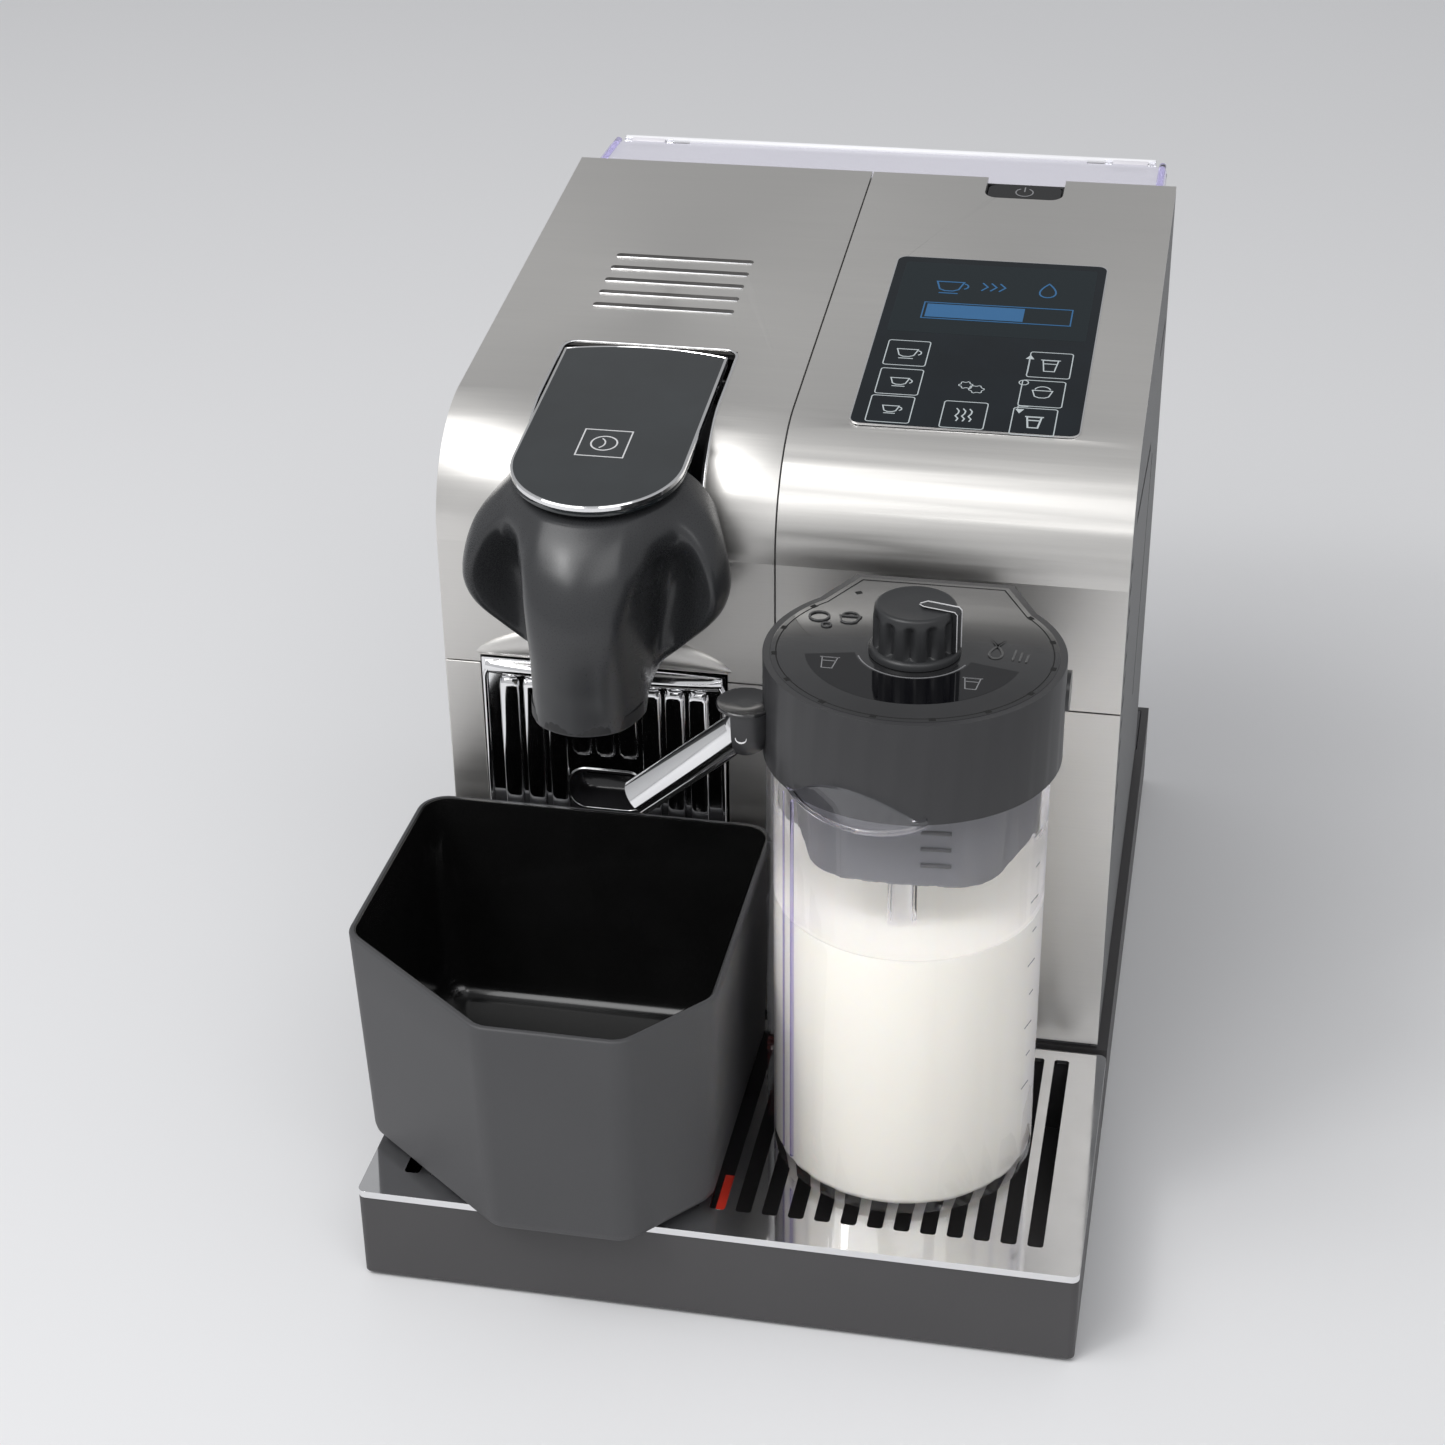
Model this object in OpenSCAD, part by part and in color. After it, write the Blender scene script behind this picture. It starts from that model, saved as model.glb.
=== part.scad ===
// Capsule coffee machine with a milk jug, a drip tray and a loose capsule bin.
// Every module works in the machine's own coordinates: x from its middle plane, y back
// from the face of the front panel and z up from the table. in_frame() then moves the
// piece so that the origin is the middle of the whole footprint, on the table.

/* [Body] */
// Width over the steel panels
body_w = 192; // [180:1:210]
// Depth from the front panel to the back of the body
body_d = 178; // [170:1:195]
// Height of the top's back edge
body_h = 235; // [228:1:245]
// Slope of the top, rising to the back, in degrees
top_pitch = 7.7; // [6:0.1:9]
// Radius of the bend between the front and the top
bend_r = 34; // [28:1:38]
// Thickness of the steel sheet
sheet_t = 1; // [0.8:0.1:1.2]
// Thickness of the moulded inner shell and side panels
shell_t = 2.2; // [2:0.1:3]
// Drop from the top's front corner to the seam between the upper and lower front panels
seam_drop = 68; // [66:1:70]

/* [Base and tray] */
// Width of the base and the drip tray
base_w = 198; // [194:1:206]
// Height of the top of the base
base_h = 30; // [28:1:32]
// How far the drip tray reaches out in front
tray_reach = 101; // [98:1:104]
// Wall of the base and the drip tray
base_wall = 2.5; // [2:0.1:3.5]
// Height of the rubber feet that show below the base
foot_h = 1.5; // [1:0.1:2.5]
// Spacing of the slots in the grille
slot_pitch = 7.2; // [6.8:0.1:7.6]
// Width of a slot in the grille
slot_w = 4.3; // [4:0.1:4.6]

/* [Water tank] */
// Depth of the water tank
tank_d = 33; // [28:1:40]
// Wall of the water tank
tank_wall = 2; // [1.6:0.1:3]

/* [Milk jug] */
// Radius of the jug's milk chamber
jug_r = 36; // [34:0.5:36.5]
// Wall of the jug
jug_wall = 2; // [1.6:0.1:2.6]
// Drop from the top's front corner to the lid's top face
lid_drop = 27; // [24:1:30]
// Height of the lid, skirt included
lid_h = 28; // [27:1:32]
// Radius of the lid
lid_r = 38.7; // [38.7:0.1:40]
// Radius of the froth knob
knob_r = 10.8; // [10:0.1:12]
// Height of the froth knob
knob_h = 13.5; // [10:0.5:16]
// Outer radius of the milk spout's tube
spout_r = 5; // [4.5:0.1:5.2]
// Length of the milk spout's tube
spout_len = 38; // [34:1:40]

/* [Capsule bin and loose bin] */
// Width of the ribbed chrome front
rib_panel_w = 71; // [68:1:73]
// Spacing of the ribs
rib_pitch = 6.9; // [6.5:0.1:7.4]
// Height of the loose bin
bin_h = 69; // [60:1:71]
// Wall of the loose bin
bin_wall = 2; // [1.6:0.1:2.6]

/* [Lever and brewing] */
// Width of the lever's plate
lever_w = 46; // [42:0.5:48]
// How far the lever's plate reaches out over the coffee head
lever_reach = 31; // [28:1:34]
// Radius of the lever's hinge pin
lever_pin_r = 1.8; // [1.5:0.1:2]
// Radius of the brewing piston
piston_r = 12.5; // [11:0.5:13]
// Radius of the coffee outlet
outlet_r = 15.5; // [14:0.5:17]

/* [Hidden] */
$fn = 64;

// Gaps
fit_gap = 0.3;          // between pieces that rest on or beside each other
run_gap = 0.08;         // radial, round a pin or a shaft
show_gap = 0.5;         // the seams between the steel panels
cut = 1;                // how far a cutter reaches past what it cuts
arc_overlap = 0.004;    // lets an arc cross a straight line instead of just touching it

half_w = body_w/2;
base_half = base_w/2;
bend_z = body_h - body_d*tan(top_pitch);   // the corner where the front and the top would meet
seam_z = bend_z - seam_drop;
tank_back = body_d + tank_d;
tank_hinge_y = tank_back - 3.4;
tank_hinge_z = body_h - 3.6;
hinge_x = half_w - 16;
hinge_pin_r = 1;
bin_left = -104;        // rim of the loose bin, which hangs out past the base
bin_right = 1;
bin_front = -114;
frame_x = -(bin_left + base_half)/2;
frame_y = -(bin_front + tank_back)/2;

// Chassis
screw_x = 80;
screw_rows = [100, body_d - 14];
screw_r = 1.6;
screw_head_r = 3.2;
gland_x = 70;
gland_z = 13;
gland_r = 5;
gland_bore_r = 3.6;

// Layout of the coffee side
coffee_x = -46.5;       // middle of the lever, the head and the brewing unit
lever_back = 54.5;      // back end of the lever's plate
lever_proud = 2;        // the plate's top above the steel
lever_t = 4;
lever_pin_at = 47;      // the pin's place along the top
lever_pin_depth = 7;    // the pin below the steel
lever_pin_y = lever_pin_at + lever_pin_depth*sin(top_pitch);
lever_pin_z = bend_z + lever_pin_at*tan(top_pitch) - lever_pin_depth*cos(top_pitch);
lever_slot_back = lever_back + 3.5;
lever_gap = 2.4;        // between the plate and the steel round it
lever_slot_z = bend_z - 29;   // how far down the front the lever's cut-out reaches
head_y = -29;           // middle of the coffee outlet
head_z = seam_z + 4.5;  // lowest point of the head
capsule_z = bend_z - 31;      // axis of the brewing unit
brew_floor_z = bend_z - 61;
cheek = lever_w/2 + 1;  // inner face of the brewing unit's cheeks, from its middle
rod_r = 6;
rib_x = -49.5;          // middle of the ribbed front
rib_top = seam_z + 2;
rib_foot = base_h + 0.3;
grip_w = 23;            // finger hole in the ribbed front
grip_h = 13;
grip_z = 98;
grip_d = 12;

// Water path
pump_x = -40;
pump_y = 92;
pump_z = 66;
pump_l = 40;
pump_r = 21;
hose_r = 3;
hose_bend = 14;
meter_y = 160;
heater_y = 117;

// Layout of the milk side
jug_x = 45;
jug_y = -49.5;
jug_foot_z = base_h + 1.3;
lid_z = bend_z - lid_drop;
lid_skirt_z = lid_z - lid_h;
jug_rim_z = lid_z - 22;
lid_ceiling_z = jug_rim_z + 3.6;
insert_z = lid_z - 56;
lid_back = -8;
steam_z = lid_z - 16;
button_z = lid_z - 11;
knob_stem = 6;
spout_y = -60;
spout_x = 3.2;
spout_z = lid_z - 20;
spout_drop = 40;        // tilt of the milk spout below level, in degrees
ball_r = spout_r + 0.8;
socket_r = ball_r + 1.2;
trunnion_r = 1.5;       // pins on the spout's ball, which turn in the socket's lugs
lug_r = 2.9;
display_x = 16.5;
display_w = 62.5;
display_y = 23.5;
display_l = 98.5;
button_x = 37;
button_w = 24.5;
button_l = 13;

STEEL = [0.78, 0.77, 0.75];
CHROME = [0.86, 0.87, 0.88];
SIDE_GREY = [0.36, 0.36, 0.37];
BASE_GREY = [0.27, 0.27, 0.28];
CHARCOAL = [0.2, 0.2, 0.21];
BLACK = [0.05, 0.05, 0.06];
CLEAR = [0.85, 0.85, 0.95, 0.35];

// ---- helpers ----

// Height of a surface that lies d inside the sloping top, at the depth y.
function under_top(y, d) = bend_z + y*tan(top_pitch) - d/cos(top_pitch);

// Moves a piece from the machine's coordinates to the part's own frame.
module in_frame() {
    translate([frame_x, frame_y, 0])
        children();
}

// A 2-D drawing in (y, z), extruded along x from x0 to x1.
module across(x0, x1) {
    translate([x0, 0, 0])
        rotate([90, 0, 90])
            linear_extrude(x1 - x0)
                children();
}

// The body's outline seen from the side, inset by d, from z0 up and as far back as y1.
module body_outline(d, z0, y1) {
    r = bend_r - d;
    arc_z = bend_z + bend_r*tan(top_pitch) - bend_r/cos(top_pitch);
    top_y = bend_r - r*sin(top_pitch);
    top_z = arc_z + r*cos(top_pitch);
    polygon([[d, z0], [y1, z0], [y1, top_z + (y1 - top_y)*tan(top_pitch)], [top_y, top_z],
        [bend_r, arc_z], [d, arc_z]]);
    translate([bend_r, arc_z])
        circle(r + arc_overlap, $fn = 96);
}

// Puts children on the sloping top: x across, y up the slope, z out of the steel.
module on_top(x, y) {
    translate([x, y, bend_z + y*tan(top_pitch)])
        rotate([top_pitch, 0, 0])
            children();
}

module rounded_rect(w, l, r) {
    translate([r, 0])
        square([w - 2*r, l]);
    translate([0, r])
        square([w, l - 2*r]);
    for (x = [r, w - r], y = [r, l - r])
        translate([x, y])
            circle(r, $fn = 24);
}

module rounded_box(w, l, h, r) {
    linear_extrude(h)
        rounded_rect(w, l, r);
}

// A tube with its own bore, along z.
module ring(r_out, r_in, h) {
    difference() {
        cylinder(h = h, r = r_out);
        translate([0, 0, -cut])
            cylinder(h = h + 2*cut, r = r_in);
    }
}

// A quarter bend of hose in the y-z plane, from +y to +z.
module hose_elbow(bend, r) {
    rotate([90, 0, 90])
        rotate_extrude(angle = 90)
            translate([bend, 0])
                circle(r, $fn = 24);
}

// ---- base and chassis ----

module base_pan() {
    bay_w = rib_panel_w + 5;
    color(BASE_GREY) in_frame() difference() {
        translate([-base_half, fit_gap, foot_h])
            cube([base_w, tank_back - fit_gap, base_h - foot_h]);
        translate([-half_w + shell_t + 0.3, 5, foot_h + base_wall])
            cube([body_w - 2*shell_t - 0.6, body_d - 8, base_h]);
        translate([-base_half + base_wall, body_d + 2, foot_h + base_wall])
            cube([base_w - 2*base_wall, tank_d - 2 - base_wall, base_h]);
        translate([rib_x - bay_w/2, -cut, base_h - 5])
            cube([bay_w, 8, 6]);
        for (x = [-screw_x, screw_x], y = screw_rows)
            translate([x, y, 0]) {
                cylinder(h = base_h/2, r = screw_r + run_gap);
                cylinder(h = foot_h + 1.6, r = screw_head_r + fit_gap);
            }
        translate([gland_x, tank_back - 2*base_wall, gland_z])
            rotate([-90, 0, 0])
                cylinder(h = 3*base_wall, r = gland_r + run_gap);
    }
}

module rubber_feet() {
    color(BLACK) in_frame()
        for (x = [-78, 78], y = [28, tank_back - 16])
            translate([x, y, 0])
                cylinder(h = foot_h, r = 8);
}

// Closes the pan over the tray's bay and carries the machinery above it.
module bottom_cover() {
    floor_z = foot_h + base_wall;
    color(CHARCOAL) in_frame() difference() {
        union() {
            translate([-half_w + shell_t + 0.6, 90, base_h - 3])
                cube([body_w - 2*shell_t - 1.2, body_d - 94, 3]);
            for (x = [-screw_x, screw_x], y = screw_rows)
                translate([x, y, floor_z])
                    cylinder(h = base_h - 2 - floor_z, r = 5);
        }
        for (x = [-screw_x, screw_x], y = screw_rows)
            translate([x, y, floor_z - cut])
                cylinder(h = base_h - floor_z - 4 + cut, r = screw_r + run_gap);
    }
}

module chassis_screws() {
    color(CHROME) in_frame()
        for (x = [-screw_x, screw_x], y = screw_rows)
            translate([x, y, foot_h + 0.1]) {
                cylinder(h = 1.5, r = screw_head_r);
                cylinder(h = base_h - foot_h - 6, r = screw_r);
            }
}

module front_shell() {
    d = sheet_t + fit_gap;
    side = half_w - shell_t - 0.3;
    color(CHARCOAL) in_frame() difference() {
        across(-side, side)
            difference() {
                body_outline(d, base_h + 0.3, body_d - 5);
                body_outline(d + shell_t, base_h - cut, body_d);
            }
        translate([coffee_x - lever_w/2 - lever_gap, -cut, lever_slot_z])
            cube([lever_w + 2*lever_gap, lever_slot_back + 2 + cut, 60]);
        on_top(display_x - 0.4, display_y - 0.4)
            translate([0, 0, -8])
                cube([display_w + 0.8, display_l + 0.8, 12]);
        on_top(button_x, body_d - button_l - 1)
            translate([-2, -2, -12])
                cube([button_w + 4, button_l + 10, 16]);
        translate([rib_x - rib_panel_w/2 - 1, -cut, base_h - cut])
            cube([rib_panel_w + 2, 10, rib_top - base_h + cut + 1]);
        translate([jug_x, -cut, steam_z])
            rotate([-90, 0, 0])
                cylinder(h = 10, r = 7.2);
    }
}

// A side panel's plate, cut by its vents. The outer face is at x = side*half_w.
module side_plate(side) {
    x0 = side > 0 ? half_w - shell_t : -half_w;
    difference() {
        across(x0, x0 + shell_t)
            body_outline(sheet_t + fit_gap, base_h + 0.3, body_d);
        for (i = [0:12])
            translate([side*half_w - 3, 10, bend_z - 115 + i*7])
                cube([6, 8, 3]);
        translate([side*half_w - 3, 26, bend_z - 23])
            rotate([-8, 0, 0])
                cube([6, 78, 3]);
        translate([side*half_w - 3, 98, bend_z - 115])
            rotate([-19, 0, 0])
                cube([6, 3.4, 76]);
        translate([side*half_w - 3, 134, bend_z - 17])
            cube([6, 30, 3]);
    }
}

module left_side_panel() {
    color(SIDE_GREY) in_frame()
        side_plate(-1);
}

module right_side_panel() {
    color(SIDE_GREY) in_frame()
        side_plate(1);
}

module rear_cover() {
    color(SIDE_GREY) in_frame() difference() {
        translate([-half_w + shell_t + 0.3, body_d - 4, base_h + 0.3])
            cube([body_w - 2*shell_t - 0.6, 4, body_h - base_h - 2.5]);
        translate([button_x - 2, body_d - 5, body_h - 14])
            cube([button_w + 4, 6, 14]);
    }
}

// The ledge that holds the tank's foot and its valve.
module tank_cradle() {
    w = base_w - 2*base_wall - 2*fit_gap;
    floor_z = foot_h + base_wall;
    color(CHARCOAL) in_frame() difference() {
        union() {
            translate([-w/2, body_d + 2 + fit_gap, base_h - 8])
                cube([w, tank_d - 2 - base_wall - 2*fit_gap, 8]);
            for (x = [-88, -50, 50, 88])
                translate([x, body_d + tank_d/2, floor_z])
                    cylinder(h = base_h - 7 - floor_z, r = 4);
        }
        translate([0, body_d + tank_d/2, base_h - 9])
            cylinder(h = 12, r = 6.3);
    }
}

// The gland in the back of the base where the mains lead enters.
module cord_gland() {
    flange_l = 3;
    gland_l = flange_l + base_wall;
    color(BLACK) in_frame()
        translate([gland_x, tank_back - gland_l, gland_z])
            rotate([-90, 0, 0])
                difference() {
                    union() {
                        cylinder(h = gland_l, r = gland_r);
                        cylinder(h = flange_l - 0.1, r = gland_r + 2.5);
                    }
                    translate([0, 0, -cut])
                        cylinder(h = gland_l + 2*cut, r = gland_bore_r);
                }
}

// ---- steel skin ----

module steel_sheet(x0, x1, z0) {
    across(x0, x1)
        difference() {
            body_outline(0, z0, body_d);
            body_outline(sheet_t, z0 - cut, body_d + cut);
        }
}

module coffee_side_steel() {
    slot_l = 42.5;
    color(STEEL) in_frame() difference() {
        steel_sheet(-half_w, -show_gap/2, seam_z + show_gap/2);
        translate([coffee_x - lever_w/2 - lever_gap, -cut, lever_slot_z])
            cube([lever_w + 2*lever_gap, lever_slot_back + cut, 60]);
        translate([rib_x - rib_panel_w/2 - show_gap, -cut, seam_z - cut])
            cube([rib_panel_w + 2*show_gap, sheet_t + 2*cut, rib_top - seam_z + show_gap + cut]);
        for (i = [0:4])
            on_top(-69.2, 80 + i*7.8)
                translate([0, 0, -3])
                    rounded_box(slot_l, 2.4, 6, 1.15);
    }
}

module milk_side_steel() {
    color(STEEL) in_frame() difference() {
        steel_sheet(show_gap/2, half_w, seam_z + show_gap/2);
        on_top(display_x - 0.3, display_y - 0.3)
            translate([0, 0, -3])
                rounded_box(display_w + 0.6, display_l + 0.6, 6, 3);
        on_top(button_x, body_d - button_l - 1)
            translate([0, 0, -3])
                rounded_box(button_w, button_l + 12, 8, 4);
        translate([jug_x, -cut, steam_z])
            rotate([-90, 0, 0])
                cylinder(h = 5, r = 7.2);
    }
}

module lower_steel(x0, x1) {
    translate([x0, 0, base_h + 2])
        cube([x1 - x0, sheet_t, seam_z - show_gap/2 - base_h - 2]);
}

module lower_left_steel() {
    color(STEEL) in_frame()
        lower_steel(-half_w, rib_x - rib_panel_w/2 - show_gap);
}

module lower_right_steel() {
    color(STEEL) in_frame()
        lower_steel(rib_x + rib_panel_w/2 + show_gap, half_w);
}

module display_glass() {
    color([0.08, 0.1, 0.14]) in_frame()
        on_top(display_x, display_y)
            translate([0, 0, -1.4])
                rounded_box(display_w, display_l, 1.7, 2.7);
}

module display_board() {
    color([0.1, 0.3, 0.2]) in_frame()
        on_top(display_x + 2, display_y + 2)
            translate([0, 0, -5.4]) {
                cube([display_w - 4, display_l - 4, 1.6]);
                translate([3, 50, 1.6])
                    cube([display_w - 10, 38, 2.1]);
            }
}

// Hangs on four posts under the shell.
module control_board() {
    board_z = bend_z - 33;
    color([0.1, 0.3, 0.2]) in_frame() {
        translate([7, 60, board_z])
            cube([82, 100, 1.6]);
        for (i = [0:2])
            translate([24 + i*20, 90, board_z + 1.6])
                cube([12, 26, 9]);
        for (x = [11, 85], y = [66, 154])
            translate([x, y, board_z])
                cylinder(h = under_top(y - 3, shell_t + sheet_t + 2*fit_gap) - board_z, r = 3);
    }
}

module power_button_cup() {
    color(BLACK) in_frame()
        on_top(button_x, body_d - button_l - 1)
            difference() {
                translate([-1.2, -1.2, -9])
                    cube([button_w + 2.4, button_l + 0.6, 7.8]);
                translate([0.4, 0.4, -7])
                    cube([button_w - 0.8, button_l - 2.4, 8]);
            }
}

module power_button() {
    color(BLACK) in_frame()
        on_top(button_x, body_d - button_l - 1)
            translate([0.8, 0.8, -4.5])
                rounded_box(button_w - 1.6, button_l - 3.2, 3.7, 2.5);
}

// ---- brewing unit ----

// Two cheeks, a floor and a back wall, fastened inside the shell.
module brew_frame() {
    seat = sheet_t + shell_t + 2*fit_gap;
    frame_l = 106;
    color(BASE_GREY) in_frame() difference() {
        union() {
            for (s = [-1, 1])
                across(coffee_x + s*(cheek + 1.5) - 1.5, coffee_x + s*(cheek + 1.5) + 1.5)
                    body_outline(seat, brew_floor_z, frame_l);
            translate([coffee_x - cheek, seat, brew_floor_z])
                cube([2*cheek, frame_l - seat, 3]);
            translate([coffee_x - cheek, 84, brew_floor_z + 3])
                cube([2*cheek, 6, 46]);
        }
        translate([coffee_x - cheek - 4, lever_pin_y, lever_pin_z])
            rotate([0, 90, 0])
                cylinder(h = 2*cheek + 8, r = lever_pin_r + run_gap);
        translate([coffee_x, 83, capsule_z])
            rotate([-90, 0, 0])
                cylinder(h = 8, r = rod_r + run_gap);
    }
}

module capsule_holder() {
    color(CHARCOAL) in_frame() {
        translate([coffee_x, 10, capsule_z])
            rotate([-90, 0, 0])
                ring(17, 13.5, 18);
        translate([coffee_x - 15, 10, brew_floor_z + 3])
            cube([30, 18, 11]);
    }
}

module brew_piston() {
    color(CHROME) in_frame()
        translate([coffee_x, 30, capsule_z])
            rotate([-90, 0, 0]) {
                cylinder(h = 22, r = piston_r);
                translate([0, 0, -1.5])
                    cylinder(h = 1.5, r = piston_r - 3);
            }
}

module piston_rod() {
    color(STEEL) in_frame()
        translate([coffee_x, 52, capsule_z])
            rotate([-90, 0, 0])
                cylinder(h = 52, r = rod_r);
}

// ---- lever ----

// The plate's outline: straight sides, a shallow arch at the back and a round front end.
module lever_outline(inset) {
    w = lever_w - 2*inset;
    r = w/2;
    front = -lever_reach + inset;
    back = lever_back - 3 - inset;
    translate([-r, front + r])
        square([w, back - front - r]);
    intersection() {
        translate([-r, back - cut])
            square([w, 4 + cut]);
        translate([0, back + 3 - 90])
            circle(90, $fn = 96);
    }
    translate([0, front + r])
        circle(r, $fn = 64);
}

module lever_plate() {
    color(BLACK) in_frame()
        on_top(coffee_x, 0)
            translate([0, 0, lever_proud - 1.5])
                linear_extrude(1.5)
                    lever_outline(1.3);
}

module lever_rim() {
    color(CHROME) in_frame()
        on_top(coffee_x, 0)
            difference() {
                translate([0, 0, lever_proud - lever_t])
                    linear_extrude(lever_t)
                        lever_outline(0);
                translate([0, 0, lever_proud - 1.5])
                    linear_extrude(3)
                        lever_outline(1.25);
            }
}

module lever_arm() {
    color(CHARCOAL) in_frame() difference() {
        union() {
            on_top(coffee_x - 15, 8)
                translate([0, 0, lever_proud - lever_t - 5])
                    cube([30, lever_pin_at - 8 + 3, 5]);
            translate([coffee_x - cheek + fit_gap, lever_pin_y, lever_pin_z])
                rotate([0, 90, 0])
                    cylinder(h = 2*(cheek - fit_gap), r = 3.6);
        }
        translate([coffee_x - cheek, lever_pin_y, lever_pin_z])
            rotate([0, 90, 0])
                cylinder(h = 2*cheek, r = lever_pin_r + run_gap);
    }
}

module lever_pin() {
    pin_l = 2*cheek + 5.8;
    color(STEEL) in_frame()
        translate([coffee_x - pin_l/2, lever_pin_y, lever_pin_z])
            rotate([0, 90, 0])
                cylinder(h = pin_l, r = lever_pin_r);
}

// ---- coffee head ----

// The shield under the lever: a round bulge over the outlet with two dished wings.
module coffee_head() {
    color(CHARCOAL) in_frame() difference() {
        union() {
            hull() {
                translate([coffee_x, head_y, head_z + 4])
                    cylinder(h = 20, r = outlet_r, $fn = 32);
                translate([coffee_x, head_y + 2, bend_z - 27])
                    sphere(19, $fn = 32);
                translate([coffee_x - 14, -1.2, head_z + 6])
                    cube([28, 1, bend_z - head_z - 20]);
            }
            for (s = [-1, 1])
                hull() {
                    translate([coffee_x + s*27.5, -17, bend_z - 24])
                        sphere(8.5, $fn = 32);
                    translate([coffee_x + s*19, -15, bend_z - 14])
                        sphere(7, $fn = 32);
                    translate([coffee_x + s*15, -13, bend_z - 48])
                        sphere(8, $fn = 32);
                    translate([coffee_x + s*8, -16, bend_z - 27])
                        sphere(13, $fn = 32);
                    translate([coffee_x + s*20 - 6, -1.3, bend_z - 49])
                        cube([12, 1, 34]);
                }
        }
        translate([coffee_x, head_y, head_z - 20])
            cylinder(h = 44, r = outlet_r - 2.4);
        translate([coffee_x - 60, -70, 0])
            on_top(0, 0)
                translate([0, 0, -lever_t + lever_proud - 0.4])
                    cube([120, 140, 60]);
    }
}

module coffee_outlet() {
    color(BLACK) in_frame()
        translate([coffee_x, head_y, head_z])
            difference() {
                union() {
                    cylinder(h = 23.7, r = outlet_r - 2.6);
                    cylinder(h = 3.7, r = outlet_r);
                }
                for (s = [-1, 1])
                    translate([s*5, 0, -cut])
                        cylinder(h = 14, r = 2.6);
            }
}

module head_back_plate() {
    color(CHARCOAL) in_frame() difference() {
        translate([coffee_x - 17, sheet_t + fit_gap + shell_t + 0.2, brew_floor_z + 4])
            cube([34, 2.2, 27]);
        translate([coffee_x, 0, brew_floor_z + 14])
            rotate([-90, 0, 0])
                cylinder(h = 10, r = 4);
    }
}

// ---- water path ----

module water_pump() {
    color([0.7, 0.7, 0.65]) in_frame()
        translate([pump_x, pump_y, pump_z])
            rotate([-90, 0, 0]) {
                cylinder(h = pump_l, r = pump_r);
                translate([0, 0, -10])
                    cylinder(h = 10, r = 9);
                translate([0, 0, pump_l])
                    cylinder(h = meter_y - hose_bend - pump_y - pump_l, r = hose_r);
            }
}

module pump_mounts() {
    color(BLACK) in_frame()
        for (y = [pump_y + 5, pump_y + pump_l - 11])
            difference() {
                translate([pump_x - 16, y, base_h])
                    cube([32, 6, 30]);
                translate([pump_x, y - cut, pump_z])
                    rotate([-90, 0, 0])
                        cylinder(h = 8, r = pump_r + 0.1);
            }
}

module flow_meter() {
    nipple_z = pump_z - hose_bend;
    color([0.8, 0.8, 0.78]) in_frame()
        translate([pump_x, meter_y, base_h]) {
            cylinder(h = 14, r = 9);
            cylinder(h = nipple_z - base_h, r = hose_r);
        }
}

// From the flow meter up into the back of the pump.
module cold_hose() {
    color([0.85, 0.85, 0.82]) in_frame()
        translate([pump_x, meter_y - hose_bend, pump_z - hose_bend])
            hose_elbow(hose_bend, hose_r + 0.5);
}

module heating_block() {
    color([0.62, 0.62, 0.64]) in_frame() {
        for (x = [20, 60], y = [94, 130])
            translate([x, y, base_h])
                cube([10, 10, 24]);
        translate([12, 88, base_h + 24])
            rounded_box(66, 58, 34, 8);
        translate([jug_x, heater_y, base_h + 58])
            cylinder(h = 8, r = 12);
    }
}

// From the heating block up and forward into the stem of the steam valve.
module hot_hose() {
    turn_z = steam_z - 28 - hose_bend;
    color([0.85, 0.85, 0.82]) in_frame() {
        translate([jug_x, heater_y, base_h + 66])
            cylinder(h = turn_z - base_h - 66, r = hose_r);
        translate([jug_x, heater_y - hose_bend, turn_z])
            hose_elbow(hose_bend, hose_r);
        translate([jug_x, heater_y - hose_bend, turn_z + hose_bend])
            rotate([90, 0, 0])
                cylinder(h = heater_y - hose_bend - 30, r = hose_r);
    }
}

module steam_valve() {
    color([0.72, 0.72, 0.7]) in_frame() {
        translate([jug_x - 12, 15, steam_z - 12])
            cube([24, 26, 24]);
        translate([jug_x - 5, 20, steam_z - 34])
            cube([10, 10, 24]);
    }
}

// The steam outlet that the jug's lid meets face to face.
module steam_nozzle() {
    color(CHROME) in_frame()
        translate([jug_x, lid_back + fit_gap, steam_z])
            rotate([-90, 0, 0])
                difference() {
                    union() {
                        cylinder(h = 23 - lid_back - 8 - fit_gap, r = 5.5);
                        translate([0, 0, 3])
                            cylinder(h = 4.6, r = 9);
                    }
                    translate([0, 0, -cut])
                        cylinder(h = 12, r = 2);
                }
}

// ---- water tank ----

module water_tank() {
    w = body_w - 8;
    z0 = base_h + 0.3;
    y0 = body_d + 0.8;
    d = tank_back - y0;
    h = body_h - 5 - z0;
    color(CLEAR) in_frame() {
        difference() {
            translate([-w/2, y0, z0])
                rounded_box(w, d, h, 6);
            translate([-w/2 + tank_wall, y0 + tank_wall, z0 + tank_wall])
                rounded_box(w - 2*tank_wall, d - 2*tank_wall, h, 4);
            translate([0, body_d + tank_d/2, z0 - cut])
                cylinder(h = 6, r = 4.1);
            for (s = [-1, 1])
                translate([s*hinge_x - 6, tank_back - 6.5, z0 + h - 4])
                    cube([12, 8, 6]);
        }
        for (s = [-1, 1], e = [-8.2, 6.2])
            translate([s*hinge_x + e, tank_hinge_y, tank_hinge_z])
                difference() {
                    union() {
                        translate([0, -2, -4])
                            cube([2, 4, 4]);
                        rotate([0, 90, 0])
                            cylinder(h = 2, r = 2);
                    }
                    translate([-cut, 0, 0])
                        rotate([0, 90, 0])
                            cylinder(h = 4, r = hinge_pin_r + run_gap);
                }
    }
}

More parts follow.
